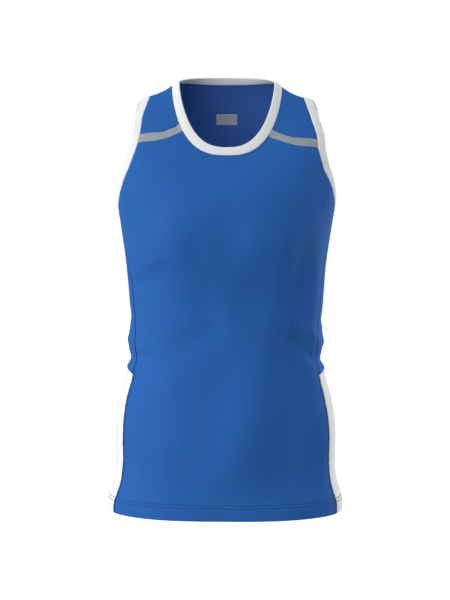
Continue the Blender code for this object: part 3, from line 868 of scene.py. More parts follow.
@dataclass
class ClothPanel:
    """A panel of cloth between four lines, as a thin closed shell with rounded edges.

    Its lines are the bottom and top, which run the way that the turn grows, then the left and
    right, which run up. The seams are the lines that its sewing shows along, with painted shade
    beside them. pucker_reach and dip_width say how far from a seam the ripples and the dip go,
    row_shade and row_width how dark and wide the painted shade along a hem row is, groove shade
    and navy thread in one, and edge_share how much of the wall's thickness is left at its edge.
    """

    form: GarmentForm
    lines: Sequence[Array]
    seams: Sequence[Seam]
    step: float = CLOTH_STEP
    wall: float = WALL
    has_hem: bool = False
    row_shade: float = 0.22
    row_width: float = 0.00055
    pucker_reach: float = 0.0055
    dip_width: float = 0.0028
    edge_share: float = 0.15
    width_points: int = 60

    def grid(self) -> Array:
        """A Coons patch between the four lines, closer together at its edges.

        Each point is the sum of the two ruled surfaces less the one through the corners.

        Returns:
            (turn, station) of each point, rows upwards.
        """
        lines = self.lines
        lengths = [self.form.measured(line) for line in lines]
        tall = (lengths[2][-1] + lengths[3][-1]) / 2
        start = hem_steps(self.form.hem_rows) if self.has_hem else EDGE_STEPS
        v = spaced(tall, self.step, start, EDGE_STEPS) / tall
        left, right = (read_line(lines[i], lengths[i], v) for i in (2, 3))
        wide = self.row_widths(left, right, lengths[0][-1], lengths[1][-1])
        flat = spaced(float(wide.max()), self.step, EDGE_STEPS, EDGE_STEPS)
        edge = EDGE_STEPS[-1]
        inner = (flat - edge) / (flat[-1] - 2 * edge)
        at = edge + inner[None] * (wide[:, None] - 2 * edge)
        at = np.where(flat < edge, flat, at)
        at = np.where(flat > flat[-1] - edge, wide[:, None] - (flat[-1] - flat), at)
        u = (at / wide[:, None])[..., None]
        v = v[:, None, None]
        bottom, top = (read_line(lines[i], lengths[i], u[..., 0]) for i in (0, 1))
        corners = [(1 - u) * line[0] + u * line[-1] for line in lines[:2]]
        ruled = (1 - v) * (bottom - corners[0]) + v * (top - corners[1])
        return ruled + (1 - u) * left[:, None] + u * right[:, None]

    def row_widths(self, left: Array, right: Array, low: float, high: float) -> Array:
        """Each row's length over the form, between the bottom's and the top's own lengths."""
        share = np.linspace(0.0, 1.0, self.width_points)[None, :, None]
        row = (1 - share) * left[:, None] + share * right[:, None]
        shown = self.form.smooth_form(row[..., 0], row[..., 1])
        wide = np.linalg.norm(np.diff(shown, axis=1), axis=2).sum(1)
        blend = np.linspace(0.0, 1.0, len(wide))
        return wide * ((1 - blend) * low / wide[0] + blend * high / wide[-1])

    def sewing(self, plain: Array, station: Array) -> tuple[Array, Array, Array]:
        """How the seams and the hem's rows show on the cloth.

        Args:
            plain: Points of the form with its wide folds.
            station: Their distances up the side.

        Returns:
            For each point: how far it moves out, how far in from the rounded edge it is, from 0
            to 1, and how dark the painted shade at seams and hem rows makes it.
        """
        out, inward, shade = np.zeros(len(plain)), np.ones(len(plain)), np.zeros(len(plain))
        ripple = wave_height(PUCKER_WAVES, plain)
        for line, sewing in self.seams:
            away = distance_to(self.form.cloth_point(*line.T)[0], plain)
            fade = np.exp(-away / self.pucker_reach)
            out += sewing.pucker * ripple * fade - sewing.dip * bell(away, self.dip_width)
            inward = np.minimum(inward, rounded(away / sewing.radius))
            # Painted shade beside each seam and at the hem's rounded edge, partly its dark thread's
            # colour
            shade = np.maximum(shade, sewing.shade * bell(away, sewing.spread))
        # Painted shade along the hem's sunk stitch rows, groove shade and navy thread in one
        for row in self.form.hem_rows if self.has_hem else ():
            shade = np.maximum(shade, self.row_shade * bell(station - row, self.row_width))
        return out, inward, shade

    def mesh_data(self) -> MeshData:
        """The panel's shell, with its sewing and its turned-up hem."""
        grid = self.grid()
        turn, station = grid[..., 0], grid[..., 1]
        points, normals = self.form.dressed_point(turn, station)
        plain = self.form.cloth_point(turn, station)[0]
        out, inward, shade = self.sewing(plain.reshape(-1, 3), station.reshape(-1))
        out, inward = out.reshape(turn.shape), inward.reshape(turn.shape)
        wall = np.full(turn.shape, self.wall)
        if self.has_hem:
            wall = np.interp(station, [HEM_FOLD - HEM_STEP, HEM_FOLD], [HEM_WALL, self.wall])
        thick = wall * (self.edge_share + (1 - self.edge_share) * inward)
        outer = self.drawn_in(points, normals)
        outer = outer + normals * (out - (wall - thick) / 2)[..., None]
        data = shell(outer, outer - normals * thick[..., None], self.cloth_uv(plain))
        data.shade = np.concatenate([shade, shade])
        across, up = (np.linalg.norm(np.diff(points, axis=i), axis=2).sum(i).max() for i in (1, 0))
        data.flat = (float(across), float(up))
        return data

    @staticmethod
    def drawn_in(points: Array, normals: Array) -> Array:
        """The grid with its rim moved inwards by half a seam gap, square to each edge."""
        rim = rim_of(np.arange(points.size // 3).reshape(points.shape[:2]))
        edge = points.reshape(-1, 3)[rim]
        ahead = unit(np.cross(normals.reshape(-1, 3)[rim], np.roll(edge, -1, axis=0) - edge))
        behind = np.roll(ahead, 1, axis=0)
        mitre = (ahead + behind) / (1.0 + np.sum(ahead * behind, axis=1, keepdims=True))
        moved = points.reshape(-1, 3).copy()
        moved[rim] += SEAM_GAP / 2 * mitre
        return moved.reshape(points.shape)

    @staticmethod
    def cloth_uv(points: Array) -> Array:
        """Distances across and up the cloth, in metres, so that the knit keeps its real size."""
        across = np.linalg.norm(np.diff(points, axis=1), axis=2)
        across = np.pad(np.cumsum(across, axis=1), ((0, 0), (1, 0)))
        across -= across[:, across.shape[1] // 2][:, None]
        up = np.linalg.norm(np.diff(points, axis=0), axis=2)
        up = np.pad(np.cumsum(up, axis=0), ((1, 0), (0, 0)))
        return np.stack([across, up], axis=-1)


@dataclass
class RibBinding:
    """A band of folded rib knit: a rounded flat profile carried round a closed seam.

    The profile is a superellipse, wider than it is thick, that swells at its middle. The ribs lift
    both its faces and fade out at the seam. They also notch its free edge, and notch_power keeps
    the notches close to it.
    """

    width: float = 0.0125
    thickness: float = 0.0020
    pitch: float = 0.0024
    rib: float = 0.00019
    points_per_rib: int = 7
    power: float = 5.0
    swell: float = 0.16
    notch_power: int = 6
    profile_points: int = 22

    def mesh_data(self, seam: Array, reach: Array, normals: Array) -> MeshData:
        """Carries the profile round the seam.

        Args:
            seam: Closed row of points on the seam, without the first repeated.
            reach: Vector from each to the free edge.
            normals: Outward normals of the cloth there.

        Returns:
            The closed band.
        """
        closed = [np.concatenate([rows, rows[:1]]) for rows in (seam, reach, normals)]
        along = distance_along(closed[0])
        ribs = round(along[-1] / self.pitch)
        at = np.linspace(0.0, along[-1], ribs * self.points_per_rib, endpoint=False)
        seam, reach, normals = (read_rows(at, along, rows) for rows in closed)
        width = np.linalg.norm(reach, axis=1, keepdims=True)
        forward = reach / width
        upward = unit(normals - forward * np.sum(normals * forward, axis=1, keepdims=True))
        angle = np.linspace(0.0, 2 * np.pi, self.profile_points, endpoint=False)
        cosine, sine = np.cos(angle), np.sin(angle)
        across = np.sign(cosine) * np.abs(cosine) ** (2 / self.power)
        height = np.sign(sine) * np.abs(sine) ** (2 / self.power)
        height = height * (1 + self.swell * (1 - across**2)) * self.thickness / 2
        rib = self.rib * np.cos(2 * np.pi * ribs * at / along[-1])[:, None]
        start = SEAM_GAP / 2
        notch = rib * np.clip(across, 0.0, 1.0) ** self.notch_power
        w = start + (width - start) * (1 + across) / 2 + notch
        h = height + rib * np.sign(height) * np.clip(2 + 2 * across, 0.0, 1.0)
        middle = seam - upward * WALL / 2
        points = middle[:, None] + forward[:, None] * w[..., None] + upward[:, None] * h[..., None]
        data = self.closed_tube(points, at, along[-1])
        data.flat = (float(along[-1]), float(width.mean()))
        return data

    @staticmethod
    def closed_tube(points: Array, at: Array, length: float) -> MeshData:
        """Joins rows of profile points both ways round, with UVs in metres."""
        index = np.arange(points.size // 3).reshape(points.shape[:2])
        index = np.concatenate([index, index[:1]])
        index = np.concatenate([index, index[:, :1]], axis=1)
        around = distance_along(np.concatenate([points[0], points[0, :1]]))
        uv = np.stack(np.meshgrid(np.append(at, length), around, indexing="ij"), axis=-1)
        return MeshData(points.reshape(-1, 3), quads_of(index)[:, ::-1], quads_of(uv)[:, ::-1])


@dataclass
class StitchRow:
    """A row of short stitches of thread, each a thin tube that dips into the cloth at its ends.

    The thread's ends are thinner by taper, and its middle stands proud of the cloth by lift. The
    powers keep both changes near its ends.
    """

    form: GarmentForm
    station: float
    pitch: float = 0.0030
    length: float = 0.0026
    thread: float = 0.00032
    lift: float = 0.00005
    taper: float = 0.75
    taper_power: int = 6
    dip_power: int = 4
    rings: int = 6
    sides: int = 6
    path_points: int = 3001

    def mesh_data(self) -> MeshData:
        """All the stitches of the row, round the whole hem.

        Returns:
            One closed tube a stitch: rings along it, with an end cap at each end.
        """
        turn = np.linspace(-180.0, 180.0, self.path_points)
        path, normals = self.form.dressed_point(turn, np.full(turn.shape, self.station))
        along = distance_along(path)
        count = round(along[-1] / self.pitch)
        share = np.linspace(-1.0, 1.0, self.rings)
        middles = (np.arange(count) + 0.5) * along[-1] / count
        at = middles[:, None] + share[None] * self.length / 2
        centre = read_rows(at, along, path)
        upward = unit(read_rows(at, along, normals))
        beside = np.cross(upward, unit(np.gradient(centre, axis=1)))[:, :, None]
        radius = self.thread / 2 * (1 - self.taper * share**self.taper_power)
        lift = self.lift + self.thread / 2 - self.thread * share**self.dip_power
        angle = np.linspace(0.0, 2 * np.pi, self.sides, endpoint=False)[:, None]
        ring = np.cos(angle) * beside + np.sin(angle) * upward[:, :, None]
        points = (centre + upward * lift[None, :, None])[:, :, None]
        points = points + ring * radius[None, :, None, None]
        starts = np.arange(count)[:, None, None] * self.rings * self.sides
        quads = (capped_tube(self.rings, self.sides)[None] + starts).reshape(-1, 4)
        return MeshData(points.reshape(-1, 3), quads, np.zeros((len(quads), 4, 2)))


@dataclass
class OverlockSeam:
    """The overlocked edge inside a seam: a flat rounded band that swells at each loop of thread.

    The loops slant across the band, which lies below the cloth's outer face. It rounds off over
    end_length at its ends, down to blunt of it.
    """

    form: GarmentForm
    width: float = 0.0048
    thickness: float = 0.0011
    pitch: float = 0.0024
    swell: float = 0.28
    slant: float = 0.9
    below: float = 0.0016
    end_length: float = 0.0008
    blunt: float = 0.1
    rings_per_loop: int = 5
    sides: int = 12

    def mesh_data(self, line: Array) -> MeshData:
        """Carries the band's oval profile along a seam, on the inside of the cloth.

        Args:
            line: (turn, station) rows of the seam.

        Returns:
            The closed band. Its thickness at each point is the profile's, times one plus the
            swell times a wave along the seam that slants across the band.
        """
        path, normals = self.form.dressed_point(line[:, 0], line[:, 1])
        along = distance_along(path)
        loops = max(round(along[-1] / self.pitch), 2)
        at = np.linspace(0.0, along[-1], loops * self.rings_per_loop + 1)
        centre, upward = read_rows(at, along, path), unit(read_rows(at, along, normals))
        beside = unit(np.cross(upward, np.gradient(centre, axis=0)))
        angle = np.linspace(0.0, 2 * np.pi, self.sides, endpoint=False)
        across, height = np.cos(angle), np.sin(angle)
        wave = np.cos(2 * np.pi * at[:, None] / self.pitch + self.slant * across)
        ends = np.minimum(at, along[-1] - at)[:, None] / self.end_length
        round_end = rounded(np.maximum(ends, self.blunt))
        w = self.width / 2 * across * round_end
        h = self.thickness / 2 * height * (1 + self.swell * wave) * round_end
        middle = centre - upward * (self.below + self.thickness / 2)
        points = middle[:, None] + beside[:, None] * w[..., None] + upward[:, None] * h[..., None]
        quads = capped_tube(len(at), self.sides)
        return MeshData(points.reshape(-1, 3), quads, np.zeros((len(quads), 4, 2)))


@dataclass
class NeckLabel:
    """The plain patch inside the back, below the neck: thin, with rounded edges.

    It is thicker by rise than at its edge, from radius inwards, and gap parts it from the cloth.
    """

    form: GarmentForm
    middle: float = -0.051
    size: tuple[float, float] = (0.032, 0.016)
    step: float = 0.001
    edge_steps: tuple[float, ...] = (0.0, 0.00008, 0.0002, 0.0004, 0.0012)
    rise: float = 0.00045
    radius: float = 0.0003
    edge_thickness: float = 0.0001
    gap: float = 0.00002

    def mesh_data(self) -> MeshData:
        """The patch's shell, at centre back."""
        wide, tall = self.size
        x = spaced(wide, self.step, self.edge_steps, self.edge_steps) - wide / 2
        z = self.middle + spaced(tall, self.step, self.edge_steps, self.edge_steps) - tall / 2
        station = self.form.station_at(np.full(z.shape, BACK_TURN), z)
        turn = BACK_TURN + np.degrees(x[None] / self.form.ring_at(station)["side_x"][:, None])
        points, normals = self.form.dressed_point(turn, station[:, None])
        across, up = wide / 2 - np.abs(x), tall / 2 - np.abs(z - self.middle)
        rise = self.rise * rounded(np.minimum(across[None], up[:, None]) / self.radius)
        outer = points - normals * (WALL + self.gap)
        inner = outer - normals * (self.edge_thickness + rise)[..., None]
        uv = np.stack(np.broadcast_arrays(x[None], (z - z[0])[:, None]), axis=-1)
        data = shell(outer, inner, uv)
        data.flat = self.size
        return data


# Finishes


class NodeMaker:
    """Adds nodes to a shader tree and links them, one short call each."""

    def __init__(self, tree: bpy.types.NodeTree) -> None:
        """Starts on an existing tree."""
        self.tree = tree

    def add(self, kind: str, settings: Optional[dict] = None, **inputs: object) -> bpy.types.Node:
        """Adds a node.

        Args:
            kind: The node's type, without the ShaderNode that it starts with.
            settings: Its options by name.
            inputs: What its inputs take, as in fill.

        Returns:
            The node.
        """
        node = self.tree.nodes.new("ShaderNode" + kind)
        for name, value in (settings or {}).items():
            setattr(node, name, value)
        return self.fill(node, **inputs)

    def fill(self, node: bpy.types.Node, **inputs: object) -> bpy.types.Node:
        """Sets or links a node's own inputs.

        Args:
            node: The node.
            inputs: A number, a colour or a socket for each input, by name with _ for a space, or
                by i and its number.

        Returns:
            The node.
        """
        for name, value in inputs.items():
            number = name[0] == "i" and name[1:].isdigit()
            socket = node.inputs[int(name[1:]) if number else name.replace("_", " ")]
            if isinstance(value, bpy.types.NodeSocket):
                self.tree.links.new(value, socket)
            else:
                socket.default_value = (*value, 1.0) if socket.type == "RGBA" else value
        return node

    def maths(self, operation: str, *values: object) -> bpy.types.NodeSocket:
        """The result of a Math node."""
        settings = {"operation": operation}
        return self.add("Math", settings, **{f"i{i}": v for i, v in enumerate(values)}).outputs[0]

    def blend(self, share: object, first: object, second: object) -> bpy.types.NodeSocket:
        """A colour between two colours."""
        return self.add("Mix", {"data_type": "RGBA"}, i0=share, i6=first, i7=second).outputs[2]

    def about(self, noise: object, middle: float, span: float) -> bpy.types.NodeSocket:
        """A number that spans a range about its middle, from a noise of 0 to 1."""
        return self.maths("MULTIPLY_ADD", noise, span, middle - span / 2)

    def relief(self, height: object, depth: float, strength: float) -> bpy.types.NodeSocket:
        """The normal of a fine relief."""
        return self.add("Bump", Height=height, Distance=depth, Strength=strength).outputs[0]

    def group(self, tree: bpy.types.NodeTree, **inputs: object) -> bpy.types.Node:
        """A node group's node."""
        return self.add("Group", {"node_tree": tree}, **inputs)

    def cloth_uv(self) -> bpy.types.NodeSocket:
        """The distances across and up the cloth."""
        return self.add("UVMap", {"uv_map": UV_NAME}).outputs[0]

    def thread_and_painted_seam_shade(self) -> bpy.types.NodeSocket:
        """The painted shade at seams, hem edges and hem rows, partly the colour of their dark
        thread.
        """
        return self.add("Attribute", {"attribute_name": SHADE_NAME}).outputs["Fac"]

    def place(self) -> bpy.types.NodeSocket:
        """The place on the object."""
        return self.add("TexCoord").outputs["Object"]


def new_group(name: str, inputs: dict[str, float], outputs: Sequence[str]) -> tuple:
    """An empty shader node group that takes a vector and some numbers, and gives numbers.

    Args:
        name: The group's name.
        inputs: The first value of each number that it takes, by name.
        outputs: The names of the numbers that it gives.

    Returns:
        The group, a node maker on it, its input node and its output node.
    """
    group = bpy.data.node_groups.new(name, "ShaderNodeTree")
    group.interface.new_socket("Vector", in_out="INPUT", socket_type="NodeSocketVector")
    for label, value in inputs.items():
        socket = group.interface.new_socket(label, in_out="INPUT", socket_type="NodeSocketFloat")
        socket.default_value = value
    for label in outputs:
        group.interface.new_socket(label, in_out="OUTPUT", socket_type="NodeSocketFloat")
    entry, out = (group.nodes.new("NodeGroup" + end) for end in ("Input", "Output"))
    return group, NodeMaker(group), entry, out


LEG_SLANT = 0.55
LOOP_SHARE = 0.6


def knit_group() -> bpy.types.NodeTree:
    """The knit's loops: two slanting legs in each wale, rounded across and along the yarn."""
    sizes = {"Wale": 0.001, "Course": 0.0008}
    group, make, entry, out = new_group("knit", sizes, ("Height", "Gap"))
    place = make.add("SeparateXYZ", Vector=entry.outputs["Vector"])
    across = make.maths("DIVIDE", place.outputs[0], entry.outputs["Wale"])
    up = make.maths("DIVIDE", place.outputs[1], entry.outputs["Course"])
    centred = make.maths("SUBTRACT", make.maths("FRACT", across), 0.5)
    leg = make.maths("MULTIPLY", make.maths("ABSOLUTE", centred), 2.0)
    slanted = make.maths("FRACT", make.maths("MULTIPLY_ADD", leg, LEG_SLANT, up))
    bow = make.maths("MULTIPLY_ADD", leg, 2.0, -1.0)
    yarn = make.maths("SUBTRACT", 1.0, make.maths("MULTIPLY", bow, bow))
    loop = make.maths("SINE", make.maths("MULTIPLY", slanted, np.pi))
    loop = make.maths("MULTIPLY_ADD", loop, LOOP_SHARE, 1 - LOOP_SHARE)
    height = make.maths("MULTIPLY", yarn, loop)
    make.fill(out, Height=height, Gap=make.maths("SUBTRACT", 1.0, height))
    return group


def mottle_group() -> bpy.types.NodeTree:
    """Slow and fine unevenness of a dyed cloth, both about 0.5."""
    scales, details = {"Slow": 14.0, "Fine": 260.0}, {"Slow": 3.0, "Fine": 2.0}
    group, make, entry, out = new_group("mottle", scales, tuple(scales))
    place = entry.outputs["Vector"]
    for label, detail in details.items():
        noise = make.add("TexNoise", Vector=place, Scale=entry.outputs[label], Detail=detail)
        make.fill(out, **{label: noise.outputs["Fac"]})
    return group


@dataclass
class Effects:
    """The node groups that the finishes share."""

    knit: bpy.types.NodeTree = field(default_factory=knit_group)
    mottle: bpy.types.NodeTree = field(default_factory=mottle_group)


def new_material(name: str) -> tuple[bpy.types.Material, NodeMaker, bpy.types.Node]:
    """An empty material, a node maker on it and its Principled shader."""
    material = bpy.data.materials.new(name)
    material.use_nodes = True
    material.node_tree.nodes.clear()
    make = NodeMaker(material.node_tree)
    shader = make.add("BsdfPrincipled")
    make.add("OutputMaterial", Surface=shader.outputs[0])
    return material, make, shader


@dataclass(frozen=True)
class KnitFinish:
    """A fine smooth knit with a soft sheen, and painted shade in its gaps and at its seams."""

    name: str
    colour: Colour
    gap_shade_colour: Colour
    thread_and_shade_colour: Colour
    roughness: float = 0.76
    roughness_span: float = 0.10
    specular: float = 0.05
    sheen: float = 0.02
    sheen_roughness: float = 0.45
    sheen_tint: Colour = (1.0, 1.0, 1.0)
    wale: float = 0.0010
    course: float = 0.0008
    relief: float = 0.00009
    relief_strength: float = 0.6
    gap_share: float = 0.5
    mottle_share: float = 0.10

    def make(self, effects: Effects) -> bpy.types.Material:
        """Builds the material."""
        material, make, shader = new_material(self.name)
        uv = make.cloth_uv()
        knit = make.group(effects.knit, Vector=uv, Wale=self.wale, Course=self.course)
        mottle = make.group(effects.mottle, Vector=make.place())
        # Painted shade in the knit's gaps, with the slow random mottle added on top
        gaps = make.maths("MULTIPLY", knit.outputs["Gap"], self.gap_share)
        mottle_and_gap_shade = make.maths("MULTIPLY_ADD", mottle.outputs["Slow"], self.mottle_share, gaps)
        cloth = make.blend(mottle_and_gap_shade, self.colour, self.gap_shade_colour)
        make.fill(
            shader,
            # Painted shade at the seams, partly the colour of dark thread, darkens the cloth here
            Base_Color=make.blend(make.thread_and_painted_seam_shade(), cloth, self.thread_and_shade_colour),
            Roughness=make.about(mottle.outputs["Fine"], self.roughness, self.roughness_span),
            Normal=make.relief(knit.outputs["Height"], self.relief, self.relief_strength),
            Specular_IOR_Level=self.specular,
            Sheen_Weight=self.sheen,
            Sheen_Roughness=self.sheen_roughness,
            Sheen_Tint=self.sheen_tint,
        )
        return material


@dataclass(frozen=True)
class TapeFinish:
    """Silvery grey tape: a close weave under a fine beaded face, painted shade in its gaps."""

    name: str = "grey_tape"
    colour: Colour = (0.385, 0.430, 0.455)
    dark: Colour = (0.250, 0.290, 0.320)
    roughness: float = 0.64
    roughness_span: float = 0.12
    metallic: float = 0.06
    specular: float = 0.12
    weave: float = 0.0006
    gap_share: float = 0.35
    mottle_scale: float = 45.0
    mottle_share: float = 0.25
    bead_scale: float = 2200.0
    bead_height: float = 0.5
    relief: float = 0.00003
    relief_strength: float = 0.4

    def make(self, effects: Effects) -> bpy.types.Material:
        """Builds the material."""
        material, make, shader = new_material(self.name)
        uv = make.cloth_uv()
        beads = make.add("TexVoronoi", Vector=uv, Scale=self.bead_scale).outputs["Distance"]
        weave = make.group(effects.knit, Vector=uv, Wale=self.weave, Course=self.weave)
        mottle = make.group(effects.mottle, Vector=uv, Slow=self.mottle_scale)
        gap, slow = weave.outputs["Gap"], mottle.outputs["Slow"]
        # Painted shade in the weave's gaps and at the tape's edges, with random mottle on top
        share = make.maths("MULTIPLY_ADD", gap, self.gap_share, make.thread_and_painted_seam_shade())
        share = make.maths("MULTIPLY_ADD", slow, self.mottle_share, share)
        height = make.maths("MULTIPLY_ADD", beads, -self.bead_height, weave.outputs["Height"])
        make.fill(
            shader,
            Base_Color=make.blend(share, self.colour, self.dark),
            Roughness=make.about(mottle.outputs["Fine"], self.roughness, self.roughness_span),
            Normal=make.relief(height, self.relief, self.relief_strength),
            Metallic=self.metallic,
            Specular_IOR_Level=self.specular,
        )
        return material


@dataclass(frozen=True)
class LabelFinish:
    """A plain heat-set patch: a grey field with a lighter border, satin.

    sharpness is how quickly one turns into the other, for each metre.
    """

    name: str = "label_print"
    field_colour: Colour = (0.370, 0.430, 0.410)
    border_colour: Colour = (0.540, 0.600, 0.620)
    half_width: float = 0.016
    half_height: float = 0.008
    border: float = 0.0012
    sharpness: float = 4000.0
    roughness: float = 0.50
    roughness_span: float = 0.10
    gap_share: float = 0.2
    relief: float = 0.00003
    relief_strength: float = 0.5

    def make(self, effects: Effects) -> bpy.types.Material:
        """Builds the material: the border is where the patch's own UV comes near its edge."""
        material, make, shader = new_material(self.name)
        uv = make.cloth_uv()
        place = make.add("SeparateXYZ", Vector=uv)
        up = make.maths("SUBTRACT", place.outputs[1], self.half_height)
        inward = [
            make.maths("SUBTRACT", half - self.border, make.maths("ABSOLUTE", away))
            for half, away in ((self.half_width, place.outputs[0]), (self.half_height, up))
        ]
        share = make.maths("MULTIPLY_ADD", make.maths("MINIMUM", *inward), self.sharpness, 0.5)
        share = make.maths("MINIMUM", make.maths("MAXIMUM", share, 0.0), 1.0)
        knit = make.group(effects.knit, Vector=uv)
        gaps = make.maths("MULTIPLY", knit.outputs["Gap"], self.gap_share)
        border = make.blend(gaps, self.border_colour, self.field_colour)
        fine = make.group(effects.mottle, Vector=uv).outputs["Fine"]
        make.fill(
            shader,
            Base_Color=make.blend(share, border, self.field_colour),
            Roughness=make.about(fine, self.roughness, self.roughness_span),
            Normal=make.relief(knit.outputs["Height"], self.relief, self.relief_strength),
        )
        return material


@dataclass(frozen=True)
class ThreadFinish:
    """Sewing thread: two plies that wind round each other."""

    name: str
    colour: Colour
    dark: Colour
    ply_scale: float = 1500.0
    roughness: float = 0.5
    sheen: float = 0.1
    relief: float = 0.00004
    relief_strength: float = 0.5

    def make(self, effects: Effects) -> bpy.types.Material:
        """Builds the material."""
        material, make, shader = new_material(self.name)
        slanted = {"bands_direction": "DIAGONAL"}
        wave = make.add("TexWave", slanted, Vector=make.place(), Scale=self.ply_scale)
        plies = wave.outputs["Fac"]
        make.fill(
            shader,
            Base_Color=make.blend(plies, self.dark, self.colour),
            Normal=make.relief(plies, self.relief, self.relief_strength),
            Roughness=self.roughness,
            Sheen_Weight=self.sheen,
        )
        return material


@dataclass(frozen=True)
class FloorFinish:
    """A matt pale floor with the faintest unevenness."""

    name: str = "pale_floor"
    colour: Colour = (0.93, 0.93, 0.93)
    dark: Colour = (0.80, 0.80, 0.80)
    mottle_scale: float = 1.5
    mottle_share: float = 0.02
    roughness: float = 0.9
    glow: float = 0.42

    def make(self, effects: Effects) -> bpy.types.Material:
        """Builds the material."""
        material, make, shader = new_material(self.name)
        mottle = make.group(effects.mottle, Vector=make.place(), Slow=self.mottle_scale)
        share = make.maths("MULTIPLY", mottle.outputs["Slow"], self.mottle_share)
        make.fill(
            shader,
            Base_Color=make.blend(share, self.colour, self.dark),
            Roughness=self.roughness,
            Specular_IOR_Level=0.0,
            Emission_Color=(1.0, 1.0, 1.0),
            Emission_Strength=self.glow,
        )
        return material


# Each knit's second colour is its painted shade in the knit's gaps, its third the dark of painted
# seam shade and thread
FINISHES = (
    KnitFinish(
        "blue_cloth",
        colour=(0.029, 0.150, 0.510),
        gap_shade_colour=(0.018, 0.101, 0.340),
        thread_and_shade_colour=(0.002, 0.012, 0.060),
        sheen_tint=(0.75, 0.85, 1.0),
    ),
    KnitFinish(
        "blue_cloth_inside",
        colour=(0.047, 0.144, 0.480),
        gap_shade_colour=(0.034, 0.104, 0.360),
        thread_and_shade_colour=(0.004, 0.022, 0.095),
        wale=0.0009,
        course=0.0009,
        sheen=0.01,
        sheen_tint=(0.75, 0.85, 1.0),
        specular=0.04,
    ),
    KnitFinish(
        "white_cloth",
        colour=(0.940, 0.950, 0.955),
        gap_shade_colour=(0.830, 0.850, 0.865),
        thread_and_shade_colour=(0.090, 0.130, 0.260),
    ),
    KnitFinish(
        "white_cloth_inside",
        colour=(0.820, 0.840, 0.860),
        gap_shade_colour=(0.700, 0.730, 0.760),
        thread_and_shade_colour=(0.450, 0.500, 0.600),
    ),
    KnitFinish(
        "white_rib",
        colour=(0.945, 0.955, 0.955),
        gap_shade_colour=(0.780, 0.805, 0.820),
        thread_and_shade_colour=(0.450, 0.500, 0.600),
        wale=0.0012,
        course=0.0009,
        relief=0.00012,
        roughness=0.75,
        gap_share=0.45,
    ),
    TapeFinish(),
    LabelFinish(),
    ThreadFinish("sewing_thread", (0.007, 0.035, 0.150), (0.003, 0.015, 0.070)),
    ThreadFinish("overlock_thread", (0.045, 0.150, 0.480), (0.025, 0.090, 0.310)),
)


# Sub-assemblies


@dataclass(frozen=True)
class SheetCut:
    """The flat size that a panel was cut to: its box across and up, and its area.

    It hangs from the named pieces, the ones of its own side where side stands in the name.
    """

    width: float
    length: float
    area: float
    hangs_from: tuple[str, ...]


BLUE_CLOTHS = ("blue_cloth", "blue_cloth_inside")
WHITE_CLOTHS = ("white_cloth", "white_cloth_inside")

# The shades below are painted shade beside seams and at the hem's rounded edge, partly dark thread
HEM = Sewing(shade=0.35, pucker=0.0, radius=0.0011)
NECK = Sewing(shade=0.12)
HIP, WAIST = Sewing(0.92, spread=0.0052, dip=0.0003), Sewing(0.70, spread=0.0030, dip=0.0006)
BODY_SIDE = (HIP, WAIST, Sewing(0.14), Sewing(0.08, pucker=0.6))
WHITE_SIDE, BLUE_SIDE = Sewing(0.06, dip=0.0003), Sewing(0.75, dip=0.0006)


@dataclass(frozen=True)
class SidePiece:
    """A piece that each side has: its cloths, its lines on the pattern and its sewing.

    The lines are the bottom, the top, the front or neck one, and the back or armhole one. The
    sewing is that of the piece's bottom, top, left and right edges.
    """

    kind: str
    cloths: tuple[str, str]
    lines: tuple[str, str, str, str]
    sewing: tuple[Sewing, Sewing, Sewing, Sewing]
    step: float = CLOTH_STEP
    has_hem: bool = False


# Each piece's shades are painted shade along its seams, partly dark thread
SIDE_PIECES = (
    SidePiece(
        "side_lower",
        WHITE_CLOTHS,
        ("hem", "split", "front_low", "back_low"),
        (Sewing(0.06, pucker=0.0, radius=0.0011), Sewing(0.06), WHITE_SIDE, WHITE_SIDE),
        has_hem=True,
    ),
    SidePiece(
        "side_upper",
        BLUE_CLOTHS,
        ("split", "arm_bottom", "front_high", "back_high"),
        (Sewing(0.40), Sewing(0.14), BLUE_SIDE, BLUE_SIDE),
    ),
    SidePiece(
        "shoulder_tape",
        ("grey_tape", "grey_tape"),
        ("tape_low", "tape_high", "neck_tape", "arm_tape"),
        (Sewing(0.05), Sewing(0.05), Sewing(0.05), Sewing(0.05)),
        step=0.0015,
    ),
    SidePiece(
        "yoke",
        BLUE_CLOTHS,
        ("tape_high", "shoulder", "neck_yoke", "arm_yoke"),
        (Sewing(0.08), Sewing(0.12), Sewing(0.14), Sewing(0.12)),
    ),
)


class Side(Enum):
    """The wearer's left or right."""

    LEFT = "left"
    RIGHT = "right"


